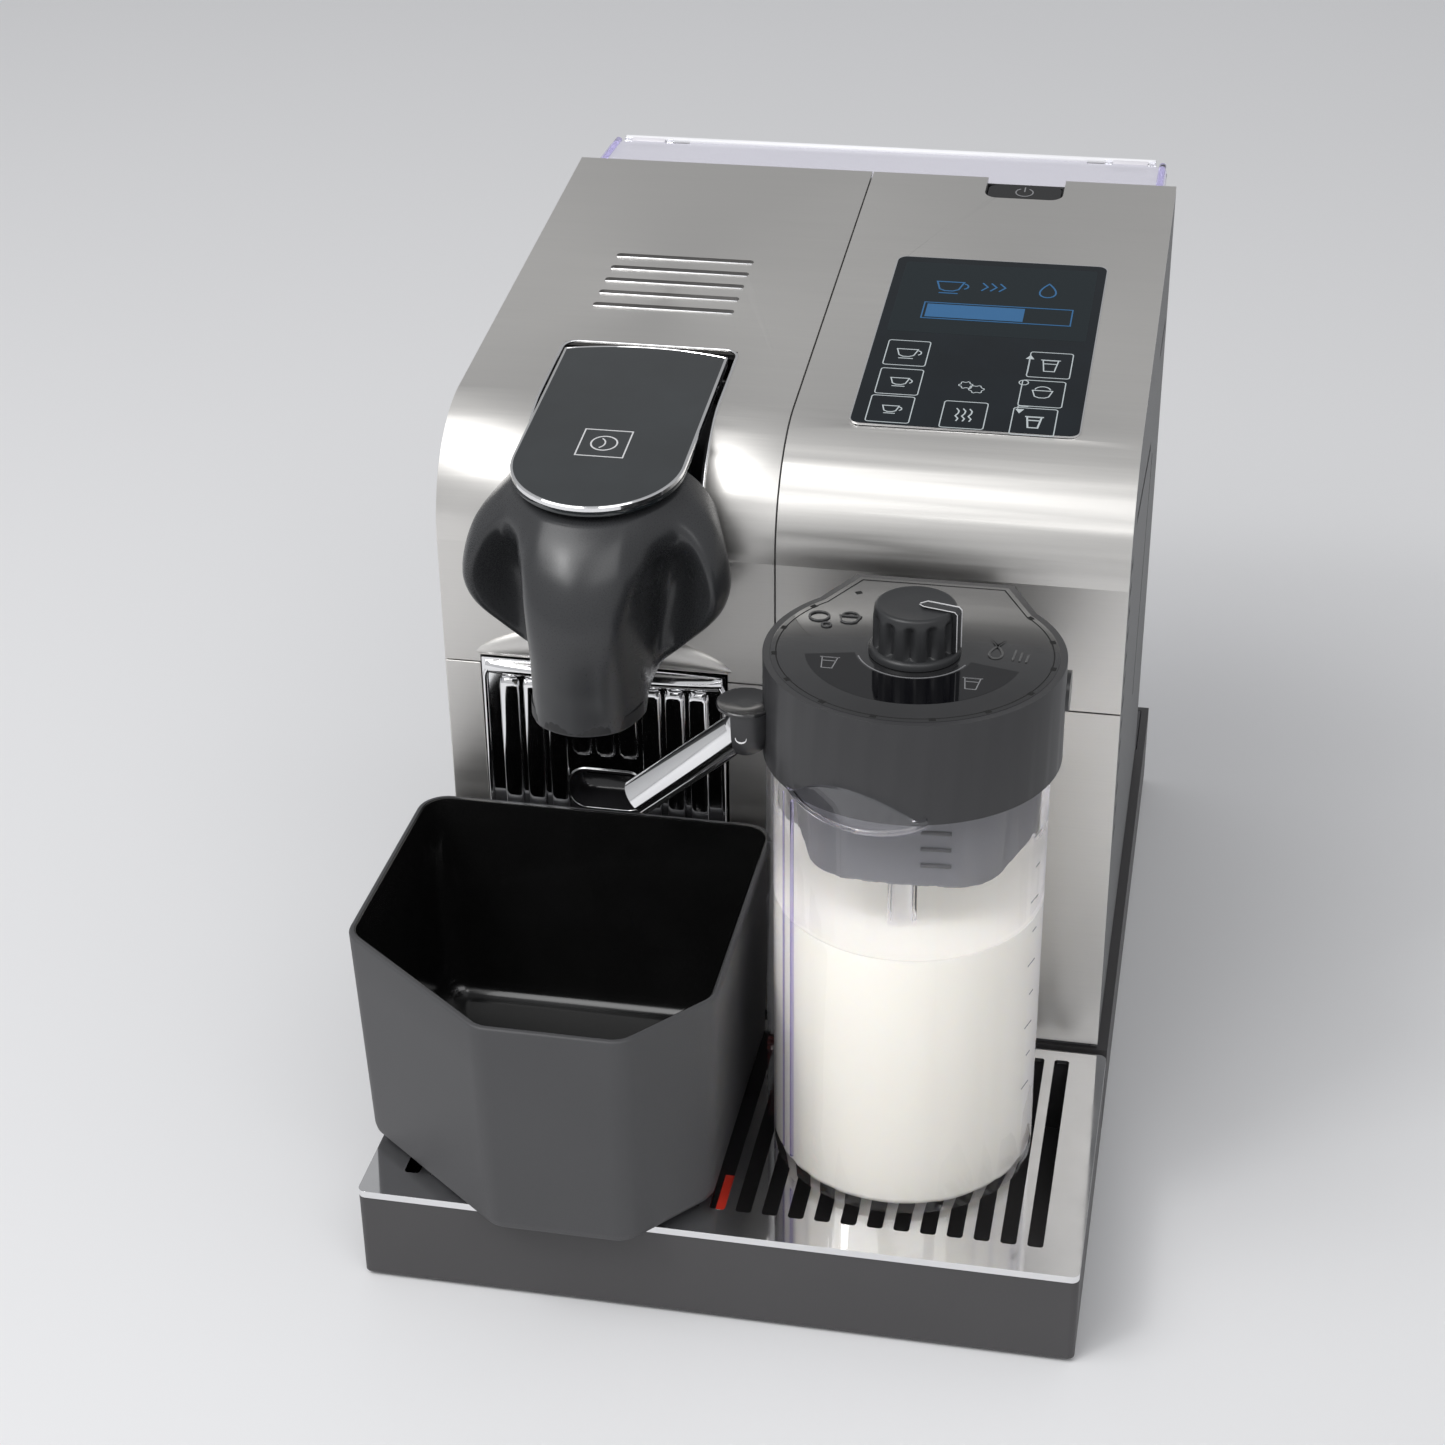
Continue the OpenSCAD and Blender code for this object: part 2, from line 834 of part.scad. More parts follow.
module tank_lid() {
    w = body_w - 8;
    y0 = body_d + 0.8;
    z0 = body_h - 4.7;
    color(CLEAR) in_frame() {
        translate([-w/2, y0, z0])
            rounded_box(w, tank_hinge_y - 2.4 - y0, 2.2, 5);
        translate([-w/2 + 26, tank_hinge_y - 4, z0])
            cube([w - 52, 4, 2.2]);
        for (s = [-1, 1])
            difference() {
                union() {
                    translate([s*hinge_x - 5.6, tank_hinge_y - 4, z0])
                        cube([11.2, 4, 2.2]);
                    translate([s*hinge_x - 5.6, tank_hinge_y, tank_hinge_z])
                        rotate([0, 90, 0])
                            cylinder(h = 11.2, r = 2);
                }
                translate([s*hinge_x - 8, tank_hinge_y, tank_hinge_z])
                    rotate([0, 90, 0])
                        cylinder(h = 16, r = hinge_pin_r + run_gap);
            }
    }
}

module tank_hinge_pin() {
    color(CHROME) in_frame()
        for (s = [-1, 1])
            translate([s*hinge_x - 8.2, tank_hinge_y, tank_hinge_z])
                rotate([0, 90, 0])
                    cylinder(h = 16.4, r = hinge_pin_r);
}

module tank_valve() {
    color(BLACK) in_frame()
        translate([0, body_d + tank_d/2, base_h - 5])
            difference() {
                union() {
                    cylinder(h = 8, r = 4);
                    translate([0, 0, 7.4])
                        cylinder(h = 5, r = 7);
                }
                translate([0, 0, -cut])
                    cylinder(h = 4, r = 1.6);
            }
}

// ---- drip tray unit ----

module drip_tray() {
    h = base_h - 2.4 - foot_h;
    tongue_w = rib_panel_w - 6;
    color(BASE_GREY) in_frame() {
        difference() {
            translate([-base_half, -tray_reach, foot_h])
                rounded_box(base_w, tray_reach, h, 2);
            translate([-base_half + base_wall, -tray_reach + base_wall, foot_h + base_wall])
                rounded_box(base_w - 2*base_wall, tray_reach - 2*base_wall - 3, h, 1);
        }
        translate([rib_x - tongue_w/2, -4, base_h - 4.4])
            cube([tongue_w, 9, 2.8]);
        translate([rib_x - tongue_w/2, -1.9, base_h - 2])
            cube([tongue_w, 6.9, 2]);
    }
}

module drip_grille() {
    n = floor((base_w - 25)/slot_pitch/2);
    lip = 2.1;
    color(CHROME) in_frame() difference() {
        translate([-base_half, -tray_reach - 0.2, base_h - lip])
            rounded_box(base_w, tray_reach - 2.1, lip, 2.2);
        translate([-base_half + 2, -tray_reach + 1.8, base_h - lip - cut])
            rounded_box(base_w - 4, tray_reach - 6.1, lip - 1.2 + cut, 1);
        for (i = [-n:n])
            translate([i*slot_pitch - slot_w/2, -tray_reach + 10, base_h - lip - cut])
                rounded_box(slot_w, tray_reach - 17, 6, 1);
        translate([rib_x - rib_panel_w/2 + 2, -5, base_h - lip - cut])
            cube([rib_panel_w - 4, 5, lip - 1.2 + cut]);
    }
}

module tray_float() {
    color([0.75, 0.12, 0.08]) in_frame() {
        translate([-0.6, -tray_reach + 11, foot_h + base_wall + 8])
            cube([2.6, 15, base_h - foot_h - base_wall - 9]);
        translate([-11, -tray_reach + 9, foot_h + base_wall + 0.3])
            rounded_box(22, 22, 7.8, 3);
    }
}

module ribbed_front() {
    ribs = floor(rib_panel_w/rib_pitch/2 - 0.3);
    rib_h = rib_top - rib_foot;
    color(CHROME) in_frame() difference() {
        union() {
            translate([rib_x - rib_panel_w/2, -0.6, rib_foot])
                cube([rib_panel_w, 2.3, rib_h]);
            for (i = [-ribs:ribs])
                translate([rib_x + i*rib_pitch, -0.6, rib_foot])
                    cylinder(h = rib_h - 4, r = 1.7, $fn = 24);
        }
        translate([rib_x - grip_w/2, -3, grip_z])
            cube([grip_w, 8, grip_h]);
    }
}

// The bin behind the ribbed front, with a finger pocket behind the front's hole.
module capsule_bin() {
    w = rib_panel_w - 3;
    color(CHARCOAL) in_frame() difference() {
        union() {
            difference() {
                translate([rib_x - w/2, 1.9, rib_foot])
                    cube([w, 72, rib_top - rib_foot - 17]);
                translate([rib_x - w/2 + 2, 3.9, rib_foot + 2])
                    cube([w - 4, 68, rib_top - rib_foot]);
            }
            translate([rib_x - grip_w/2 - 2, 2.5, grip_z - 2])
                cube([grip_w + 4, grip_d, grip_h + 4]);
        }
        translate([rib_x - grip_w/2, 1.9 - cut, grip_z])
            cube([grip_w, grip_d - 1.4 + cut, grip_h]);
    }
}

// ---- the loose bin that stands on the grille ----

// The bin's plan: a wide flat back, straight sides and a narrow front behind two slants.
module bin_plan(inset, slope) {
    l = bin_left + inset + slope;
    r = bin_right - inset - slope;
    f = bin_front + inset + slope;
    b = -3 - inset - slope;
    k = inset*0.6;
    offset(r = 7 - min(inset, 3), $fn = 32)
        offset(delta = -7 + min(inset, 3))
            polygon([[l, b], [l, f + 36 - k], [l + 46 - k, f], [r - 20 + k, f], [r, f + 24 - k], [r, b]]);
}

module bin_solid(inset, z0, z1) {
    draft = 2.2;
    hull() {
        translate([0, 0, z0])
            linear_extrude(0.1)
                bin_plan(inset, draft);
        translate([0, 0, z1 - 0.1])
            linear_extrude(0.1)
                bin_plan(inset, 0);
    }
}

module loose_bin() {
    z0 = base_h + 0.3;
    color([0.3, 0.3, 0.31]) in_frame() difference() {
        bin_solid(0, z0, z0 + bin_h);
        bin_solid(bin_wall, z0 + bin_wall, z0 + bin_h + cut);
    }
}

// ---- milk jug ----

// The milk chamber is round, and a hollow corner at its back left squares it to the machine.
module jug_plan(inset) {
    circle_r = jug_r - inset;
    translate([jug_x, jug_y])
        circle(circle_r, $fn = 96);
}

module jug_corner(inset) {
    translate([6.5 + inset, jug_y + inset])
        square([39 - inset, 34 - 2*inset]);
}

module milk_jug() {
    h = jug_rim_z - jug_foot_z;
    color(CLEAR) in_frame() difference() {
        translate([0, 0, jug_foot_z])
            union() {
                linear_extrude(h)
                    jug_plan(0);
                linear_extrude(lid_skirt_z - fit_gap - jug_foot_z)
                    jug_corner(0);
            }
        translate([0, 0, jug_foot_z + 2.5])
            linear_extrude(h)
                jug_plan(jug_wall);
        translate([0, 0, jug_foot_z + jug_wall])
            linear_extrude(h)
                difference() {
                    jug_corner(jug_wall);
                    jug_plan(0);
                }
    }
}

// The lid's round body with its flat back, from z0 to z1.
module lid_body(inset, z0, z1) {
    side = 33 - inset;
    back = 21 - inset*0.6;
    translate([jug_x, jug_y, z0]) {
        cylinder(h = z1 - z0, r = lid_r - inset, $fn = 96);
        linear_extrude(z1 - z0)
            polygon([[-side, -4], [side, -4], [side, 17], [back, lid_back - inset - jug_y],
                [-back, lid_back - inset - jug_y], [-side, 17]]);
    }
}

module jug_lid() {
    color(CHARCOAL) in_frame() difference() {
        lid_body(0, lid_skirt_z, lid_z);
        difference() {
            lid_body(2, lid_skirt_z - cut, lid_ceiling_z);
            translate([jug_x - 9, lid_back - 4.6, lid_skirt_z - 2*cut])
                cube([18, 6, 20]);
        }
        lid_body(4.5, lid_z - 1.2, lid_z + cut);
        translate([jug_x, lid_back + cut, steam_z])
            rotate([90, 0, 0])
                cylinder(h = 6, r = 2);
        for (s = [-1, 1])
            translate([jug_x + s*(lid_r + cut), jug_y + 6, button_z])
                rotate([0, -s*90, 0])
                    cylinder(h = 5.8, r = 5.7);
        translate([spout_x, spout_y, spout_z])
            sphere(socket_r + 0.05);
        translate([jug_x, jug_y, lid_z - knob_stem - fit_gap])
            cylinder(h = knob_stem + 1, r = 4 + run_gap);
    }
}

// The glossy disc with the knob's scale.
module lid_dial_face() {
    color(BLACK) in_frame() difference() {
        lid_body(5, lid_z - 1.2, lid_z);
        translate([jug_x, jug_y, lid_z - 3])
            cylinder(h = 6, r = 4 + run_gap);
    }
}

module froth_knob() {
    color(BLACK) in_frame()
        translate([jug_x, jug_y, lid_z + fit_gap]) {
            difference() {
                union() {
                    cylinder(h = 3, r = knob_r + 1);
                    cylinder(h = knob_h, r = knob_r);
                }
                for (i = [0:15])
                    rotate([0, 0, i*22.5])
                        translate([knob_r + 2.1, 0, 4])
                            cylinder(h = knob_h, r = 2.5, $fn = 24);
            }
            translate([0, 0, -knob_stem])
                cylinder(h = knob_stem + 1, r = 4);
        }
}

module lid_insert() {
    w = 52;
    color(SIDE_GREY) in_frame() difference() {
        translate([jug_x + 1 - w/2, jug_y - 24, insert_z])
            rounded_box(w, 44, lid_ceiling_z - insert_z, 12);
        translate([jug_x + 3 - w/2, jug_y - 22, insert_z + 2])
            rounded_box(w - 4, 40, 60, 10);
        translate([jug_x, jug_y - 10, insert_z - 2])
            cylinder(h = 8, r = 3.3);
    }
}

module milk_suction_tube() {
    color([0.9, 0.9, 0.9]) in_frame()
        translate([jug_x, jug_y - 10, jug_foot_z + 6])
            ring(3, 2, lid_ceiling_z - 8 - jug_foot_z);
}

module lid_seal() {
    color([0.75, 0.75, 0.75]) in_frame()
        translate([jug_x, jug_y, jug_rim_z + 0.3])
            ring(jug_r - 0.1, jug_r - 3, 3);
}

module release_button(s) {
    translate([jug_x + s*(lid_r + 0.8), jug_y + 6, button_z])
        rotate([0, -s*90, 0])
            cylinder(h = 4.2, r = 5.4);
}

module left_release_button() {
    color(CHARCOAL) in_frame()
        release_button(-1);
}

module right_release_button() {
    color(CHARCOAL) in_frame()
        release_button(1);
}

// The cup-shaped joint on the lid that the spout turns in.
module spout_socket() {
    color(CHARCOAL) in_frame()
        translate([spout_x, spout_y, spout_z])
            difference() {
                sphere(socket_r, $fn = 48);
                sphere(ball_r + 0.1, $fn = 48);
                difference() {
                    translate([-20, -10, -20])
                        cube([22.3, 20, 40]);
                    rotate([90, 0, 0])
                        cylinder(h = 30, r = lug_r, center = true);
                }
                rotate([90, 0, 0])
                    cylinder(h = 30, r = trunnion_r + run_gap, center = true);
            }
}

module milk_spout() {
    color(CHROME) in_frame()
        translate([spout_x, spout_y, spout_z])
            difference() {
                union() {
                    sphere(ball_r, $fn = 48);
                    rotate([90, 0, 0])
                        cylinder(h = 2*socket_r - 0.2, r = trunnion_r, center = true);
                    rotate([0, -90 - spout_drop, 0])
                        cylinder(h = spout_len, r = spout_r);
                }
                rotate([0, -90 - spout_drop, 0])
                    translate([0, 0, 8])
                        cylinder(h = spout_len, r = spout_r - 1);
            }
}

base_pan();
rubber_feet();
bottom_cover();
chassis_screws();
front_shell();
left_side_panel();
right_side_panel();
rear_cover();
tank_cradle();
cord_gland();
coffee_side_steel();
milk_side_steel();
lower_left_steel();
lower_right_steel();
display_glass();
display_board();
power_button();
power_button_cup();
control_board();
brew_frame();
capsule_holder();
brew_piston();
piston_rod();
lever_plate();
lever_rim();
lever_arm();
lever_pin();
coffee_head();
coffee_outlet();
head_back_plate();
water_pump();
pump_mounts();
heating_block();
flow_meter();
cold_hose();
hot_hose();
steam_valve();
steam_nozzle();
water_tank();
tank_lid();
tank_hinge_pin();
tank_valve();
drip_tray();
drip_grille();
tray_float();
ribbed_front();
capsule_bin();
loose_bin();
milk_jug();
jug_lid();
lid_dial_face();
froth_knob();
lid_insert();
milk_suction_tube();
lid_seal();
left_release_button();
right_release_button();
spout_socket();
milk_spout();
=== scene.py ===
"""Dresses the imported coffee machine: finishes, fine pieces, a studio and a camera."""

import math

import bpy
from mathutils import Matrix, Vector


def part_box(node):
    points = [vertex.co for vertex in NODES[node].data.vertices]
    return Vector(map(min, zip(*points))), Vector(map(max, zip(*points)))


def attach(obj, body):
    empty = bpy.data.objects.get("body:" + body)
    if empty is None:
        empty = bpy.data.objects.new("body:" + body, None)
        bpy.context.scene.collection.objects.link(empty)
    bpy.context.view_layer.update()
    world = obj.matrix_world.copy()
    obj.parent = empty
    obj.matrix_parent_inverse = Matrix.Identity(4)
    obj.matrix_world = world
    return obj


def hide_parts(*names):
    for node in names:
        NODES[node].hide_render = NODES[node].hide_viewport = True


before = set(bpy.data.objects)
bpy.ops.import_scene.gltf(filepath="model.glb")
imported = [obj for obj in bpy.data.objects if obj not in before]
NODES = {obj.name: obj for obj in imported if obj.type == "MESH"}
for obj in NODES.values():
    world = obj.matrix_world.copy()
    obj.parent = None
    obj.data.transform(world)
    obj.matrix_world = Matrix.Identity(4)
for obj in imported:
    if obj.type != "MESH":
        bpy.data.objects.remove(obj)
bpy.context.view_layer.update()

bl_info = {
    "name": "Capsule Coffee Machine",
    "version": (1, 0, 0),
    "blender": (4, 5, 0),
    "location": "View3D > Sidebar > Coffee Machine",
    "description": "Finishes and fine pieces for a capsule coffee machine with a milk jug",
    "category": "Object",
}

# Sizes and places are in millimetres, apart from the studio's and those read from the frame, which
# are in metres.
MM = 0.001
COFFEE_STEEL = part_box("coffee_side_steel")
MILK_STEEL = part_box("milk_side_steel")
# Where the machine's own middle plane and front face are in the part's frame.
ORIGIN = Vector(((COFFEE_STEEL[1].x + MILK_STEEL[0].x)/2, MILK_STEEL[0].y, 0.0))
PITCH = math.radians(7.7)                    # slope of the top
STEEL_RISE = (MILK_STEEL[1].y - MILK_STEEL[0].y)*math.tan(PITCH)
BEND_Z = (MILK_STEEL[1].z - STEEL_RISE)/MM   # the corner where the front and the top would meet
BEND_R = 34.0                                # the bend that rounds that corner
SEAM_Z = BEND_Z - 68                         # seam between the upper and the lower steel
LID_Z = BEND_Z - 27                          # top of the jug's lid
COFFEE_X = -46.5                             # middle of the lever and the coffee head
JUG = (45.0, -49.5)                          # axis of the jug


# ---- places ----

def at(x, y, z):
    """A point of the machine, in millimetres from its middle plane, front face and foot."""
    return Vector((x*MM, y*MM, z*MM)) + ORIGIN


def on_top(x, along, out=0.0):
    """A point on the sloping top: across, up the slope from the bend's corner, out of the steel."""
    return at(x, along*math.cos(PITCH) - out*math.sin(PITCH),
              BEND_Z + along*math.sin(PITCH) + out*math.cos(PITCH))


def on_lid(x, y, out=0.0):
    """A point on the jug's lid, from the jug's axis."""
    return at(JUG[0] + x, JUG[1] + y, LID_Z + out)


def round_jug(radius, azimuth, z):
    """A point round the jug's axis, with its azimuth in radians."""
    return at(JUG[0] + radius*math.cos(azimuth), JUG[1] + radius*math.sin(azimuth), z)


# ---- outlines in the plane ----

def arc(cx, cy, radius, start, end, steps):
    """Points of an arc, with its angles in degrees."""
    angles = [math.radians(start + (end - start)*i/steps) for i in range(steps + 1)]
    return [(cx + radius*math.cos(a), cy + radius*math.sin(a)) for a in angles]


def circle(cx, cy, radius, steps):
    """Points of a circle, each of them once."""
    return arc(cx, cy, radius, 0, 360, steps)[:-1]


def left_of(direction):
    """A direction in the plane, turned left by a right angle."""
    return Vector((-direction.y, direction.x))


def corners_of(polygon):
    """Each corner of a polygon, with the directions of the sides before and after it."""
    count = len(polygon)
    for i in range(count):
        here = Vector(polygon[i])
        before = (here - Vector(polygon[i - 1])).normalized()
        after = (Vector(polygon[(i + 1) % count]) - here).normalized()
        yield here, before, after


def inset(polygon, distance):
    """A convex polygon, anticlockwise, with each side moved inwards."""
    moved = []
    for here, before, after in corners_of(polygon):
        n0 = left_of(before)
        n1 = left_of(after)
        shift = (n0 + n1)*(distance/(1 + n0.dot(n1)))
        moved.append(tuple(here + shift))
    return moved


def rounded(polygon, radius, steps=6):
    """A convex polygon, anticlockwise, with arcs at its corners."""
    points = []
    for here, before, after in corners_of(polygon):
        turn = math.atan2(before.x*after.y - before.y*after.x, before.dot(after))
        back = radius*math.tan(turn/2)
        inward = left_of(before)
        centre = here - before*back + inward*radius
        start = math.degrees(math.atan2(-inward.y, -inward.x))
        points += arc(centre.x, centre.y, radius, start, start + math.degrees(turn), steps)
    return points


def rectangle(x0, y0, x1, y1, radius=0.0, steps=6):
    """A rectangle, anticlockwise, with round corners where a radius is given."""
    corners = [(x0, y0), (x1, y0), (x1, y1), (x0, y1)]
    return rounded(corners, radius, steps) if radius else corners


def drop_outline(cx, cy, width, height, sharpness, steps=20):
    """A drop with its point up; a greater sharpness gives it a longer point."""
    turns = [2*math.pi*k/steps for k in range(steps)]
    return [(cx + width*math.sin(t)*math.sin(t/2)**sharpness, cy + height*math.cos(t)) for t in turns]


def spline(points, steps):
    """A smooth curve through the points, by Catmull and Rom."""
    curve = []
    last = len(points) - 1
    for i in range(last):
        a = Vector(points[max(i - 1, 0)])
        b = Vector(points[i])
        c = Vector(points[i + 1])
        d = Vector(points[min(i + 2, last)])
        for k in range(steps):
            t = k/steps
            curve.append(0.5*((2*b) + (c - a)*t + (2*a - 5*b + 4*c - d)*t*t
                              + (3*b - a - 3*c + d)*t*t*t))
    curve.append(Vector(points[last]))
    return curve


def neighbours(path, closed):
    """Each point of a path with those before and after it; at an open end the point stands for both."""
    last = len(path) - 1
    for i, here in enumerate(path):
        before = path[i - 1] if closed or i else here
        after = path[(i + 1) % len(path)] if closed or i < last else here
        yield before, here, after


# ---- meshes ----

LEAST_MITRE = 0.3    # keeps the outer side of a sharp turn from running far out


class Form:
    """Points and faces that are gathered before they become one mesh."""

    def __init__(self):
        self.points = []
        self.faces = []
        self.skins = []

    def loop(self, points):
        """Adds points and returns their numbers."""
        first = len(self.points)
        self.points += [Vector(p) for p in points]
        return list(range(first, len(self.points)))

    def face(self, corners, skin=0):
        """Adds a face; its skin is the number of one of the piece's finishes."""
        self.faces.append(tuple(corners))
        self.skins.append(skin)

    def bridge(self, a, b, skin=0, closed=True):
        """Joins two rows of points with the same count by a band of faces."""
        count = len(a)
        for i in range(count if closed else count - 1):
            j = (i + 1) % count
            self.face((a[i], a[j], b[j], b[i]), skin)

    def loft(self, loops, skin=0, start=True, end=True):
        """Skins a row of loops and closes its two ends."""
        rows = [self.loop(points) for points in loops]
        for a, b in zip(rows, rows[1:]):
            self.bridge(a, b, skin)
        if start:
            self.face(reversed(rows[0]), skin)
        if end:
            self.face(rows[-1], skin)
        return rows

    def plate(self, outline, place, low, high):
        """A flat piece with an outline in its own plane, placed by place(u, v, w)."""
        self.loft([[place(u, v, w) for u, v in outline] for w in (low, high)])

    def stroke(self, points, width, place, low, high, closed=False):
        """A line of constant width along points in a plane, with a thickness."""
        left = []
        right = []
        for before, here, after in neighbours([Vector(p) for p in points], closed):
            sides = [(here - before).normalized(), (after - here).normalized()]
            normals = [left_of(side) for side in sides if side.length]
            n = sum(normals, Vector((0, 0)))
            n = n/max(n.length_squared/len(normals), LEAST_MITRE)
            left.append(here + n*(width/2))
            right.append(here + n*(-width/2))
        edges = ((left, low), (left, high), (right, high), (right, low))
        rows = [self.loop([place(p.x, p.y, w) for p in side]) for side, w in edges]
        for i in range(4):
            self.bridge(rows[i], rows[(i + 1) % 4], closed=closed)
        if not closed:
            self.face([row[0] for row in rows])
            self.face([row[-1] for row in reversed(rows)])

    def tube(self, path, radius, sides=10, closed=False):
        """A round rod along points in space, with its radius in metres."""
        normal = None
        loops = []
        for before, here, after in neighbours([Vector(p) for p in path], closed):
            along = (after - before).normalized()
            if normal is None:
                helper = Vector((0, 0, 1)) if abs(along.z) < 0.9 else Vector((1, 0, 0))
                normal = along.cross(helper).normalized()
            normal = (normal - along*normal.dot(along)).normalized()
            side = along.cross(normal)
            turns = [2*math.pi*k/sides for k in range(sides)]
            loops.append([here + (normal*math.cos(a) + side*math.sin(a))*radius for a in turns])
        if closed:
            loops.append(loops[0])
        self.loft(loops, start=not closed, end=not closed)

    def lathe(self, profile, centre, steps, skin=0, start=True, end=True):
        """Turns a profile of (radius, height) about the vertical line through centre."""
        turns = [2*math.pi*k/steps for k in range(steps)]
        loops = [[Vector((centre.x + r*MM*math.cos(a), centre.y + r*MM*math.sin(a), centre.z + z*MM))
                  for a in turns] for r, z in profile]
        self.loft(loops, skin, start, end)


def place_mesh(name, form):
    """Turns a form into an object of the scene."""
    mesh = bpy.data.meshes.new(name)
    mesh.from_pydata(form.points, [], form.faces)
    obj = bpy.data.objects.new(name, mesh)
    bpy.context.scene.collection.objects.link(obj)
    return obj


def make(name, form, finishes, body, stands_for=(), smooth=35, bevel=0.0):
    """Turns a form into a piece that rides on a body."""
    obj = place_mesh(name, form)
    for finish in finishes:
        obj.data.materials.append(bpy.data.materials[finish])
    obj.data.polygons.foreach_set("material_index", form.skins)
    obj.data.validate()
    settle(obj, smooth)
    if bevel:
        soften(obj, bevel)
    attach(obj, body)
    if stands_for:
        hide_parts(*stands_for)
    return obj


def smooth_up_to(mesh, angle):
    """Shades a mesh smooth, with sharp edges past an angle in degrees."""
    mesh.shade_smooth()
    mesh.set_sharp_from_angle(angle=math.radians(angle))


def settle(obj, smooth):
    """Faces outwards, shaded smooth up to an angle."""
    bpy.context.view_layer.objects.active = obj
    obj.select_set(True)
    bpy.ops.object.mode_set(mode="EDIT")
    bpy.ops.mesh.select_all(action="SELECT")
    bpy.ops.mesh.normals_make_consistent(inside=False)
    bpy.ops.object.mode_set(mode="OBJECT")
    obj.select_set(False)
    smooth_up_to(obj.data, smooth)


def soften(obj, width):
    """Rounds an object's sharp edges by a width in millimetres."""
    weld = obj.modifiers.new("weld", "WELD")
    weld.merge_threshold = 0.01*MM
    modifier = obj.modifiers.new("edges", "BEVEL")
    modifier.width = width*MM
    modifier.segments = 2
    modifier.limit_method = "ANGLE"
    modifier.angle_limit = math.radians(35)
    modifier.harden_normals = True
    modifier.use_clamp_overlap = True


def carve(obj, form):
    """Cuts a form out of an object's mesh."""
    cutter = place_mesh("cutter", form)
    settle(cutter, 30)
    modifier = obj.modifiers.new("cut", "BOOLEAN")
    modifier.object = cutter
    modifier.solver = "EXACT"
    bpy.context.view_layer.update()
    shape = obj.evaluated_get(bpy.context.evaluated_depsgraph_get())
    result = bpy.data.meshes.new_from_object(shape)
    obj.modifiers.remove(modifier)
    obj.data = result
    bpy.data.objects.remove(cutter)
    smooth_up_to(obj.data, 40)


# ---- shaders ----

class Signal:
    """An output in a shader tree; arithmetic on it adds Math nodes."""

    def __init__(self, finish, socket):
        self.finish = finish
        self.socket = socket

    def math(self, operation, *values):
        return self.finish.node("ShaderNodeMath", {"operation": operation}, values)

    def __add__(self, other):
        return self.math("ADD", self, other)

    def __radd__(self, other):
        return self.math("ADD", other, self)

    def __mul__(self, other):
        return self.math("MULTIPLY", self, other)

    def __rmul__(self, other):
        return self.math("MULTIPLY", other, self)

    def __pow__(self, other):
        return self.math("POWER", self, other)

    def __rpow__(self, other):
        return self.math("POWER", other, self)

    def clamp(self, low=0.0, high=1.0):
        return self.math("MINIMUM", self.math("MAXIMUM", self, low), high)


class Finish:
    """One material, built round a Principled shader."""

    def __init__(self, name):
        self.material = bpy.data.materials.new(name)
        self.material.use_nodes = True
        self.tree = self.material.node_tree
        self.tree.nodes.clear()
        self.output = self.tree.nodes.new("ShaderNodeOutputMaterial")
        self.shader = self.tree.nodes.new("ShaderNodeBsdfPrincipled")
        self.tree.links.new(self.shader.outputs["BSDF"], self.output.inputs["Surface"])

    def feed(self, socket, value):
        """Gives a socket a value, a colour or another node's output."""
        if isinstance(value, Signal):
            self.tree.links.new(value.socket, socket)
        elif socket.type == "RGBA":
            socket.default_value = (*value[:3], 1.0)
        else:
            socket.default_value = value

    def node(self, kind, settings=None, inputs=(), output=0):
        """Adds a node: its settings first, then its inputs by name or in order."""
        made = self.tree.nodes.new(kind)
        for key, value in (settings or {}).items():
            if key == "stops":
                self.set_stops(made.color_ramp, value)
            else:
                setattr(made, key, value)
        pairs = inputs.items() if isinstance(inputs, dict) else enumerate(inputs)
        for key, value in pairs:
            self.feed(made.inputs[key], value)
        return Signal(self, made.outputs[output])

    def set_stops(self, ramp, stops):
        """Gives a colour ramp its stops, as positions with levels of grey."""
        while len(ramp.elements) < len(stops):
            ramp.elements.new(0.5)
        for element, (position, level) in zip(ramp.elements, stops):
            element.position = position
            element.color = (level, level, level, 1.0)

    def set(self, **inputs):
        """Sets the shader's own sockets, with _ for the spaces in their names."""
        for key, value in inputs.items():
            self.feed(self.shader.inputs[key.replace("_", " ").title().replace("Ior", "IOR")], value)

    def noise(self, scale, detail=2.0, stretch=(1, 1, 1), roughness=0.5):
        """Noise on the object in metres, stretched for a grain."""
        spot = self.node("ShaderNodeTexCoord", output="Object")
        place = self.node("ShaderNodeMapping", None, {"Vector": spot, "Scale": stretch})
        return self.node("ShaderNodeTexNoise", None, {
            "Vector": place, "Scale": scale, "Detail": detail, "Roughness": roughness})

    def levels(self, signal, *stops):
        """A signal put through a ramp of greys."""
        return self.node("ShaderNodeValToRGB", {"stops": stops}, [signal])

    def colour(self, factor, low, high):
        """A colour between two others."""
        return self.node("ShaderNodeMix", {"data_type": "RGBA"},
                         {0: factor, 6: low, 7: high}, output=2)

    def bump(self, height, depth):
        """Relief from a signal, depth in millimetres."""
        relief = self.node("ShaderNodeBump", None,
                           {"Height": height, "Distance": depth*MM, "Strength": 1.0})
        self.feed(self.shader.inputs["Normal"], relief)

    def let_light_through(self, tint):
        """Lets lamps shine through clear plastic, which refraction alone would block."""
        path = self.node("ShaderNodeLightPath", output="Is Shadow Ray")
        clear = self.node("ShaderNodeBsdfTransparent", None, [tint])
        mixed = self.node("ShaderNodeMixShader", None,
                          [path, Signal(self, self.shader.outputs["BSDF"]), clear])
        self.tree.links.new(mixed.socket, self.output.inputs["Surface"])


def shade(colour, factor):
    """A colour made darker or lighter."""
    return tuple(channel*factor for channel in colour[:3])


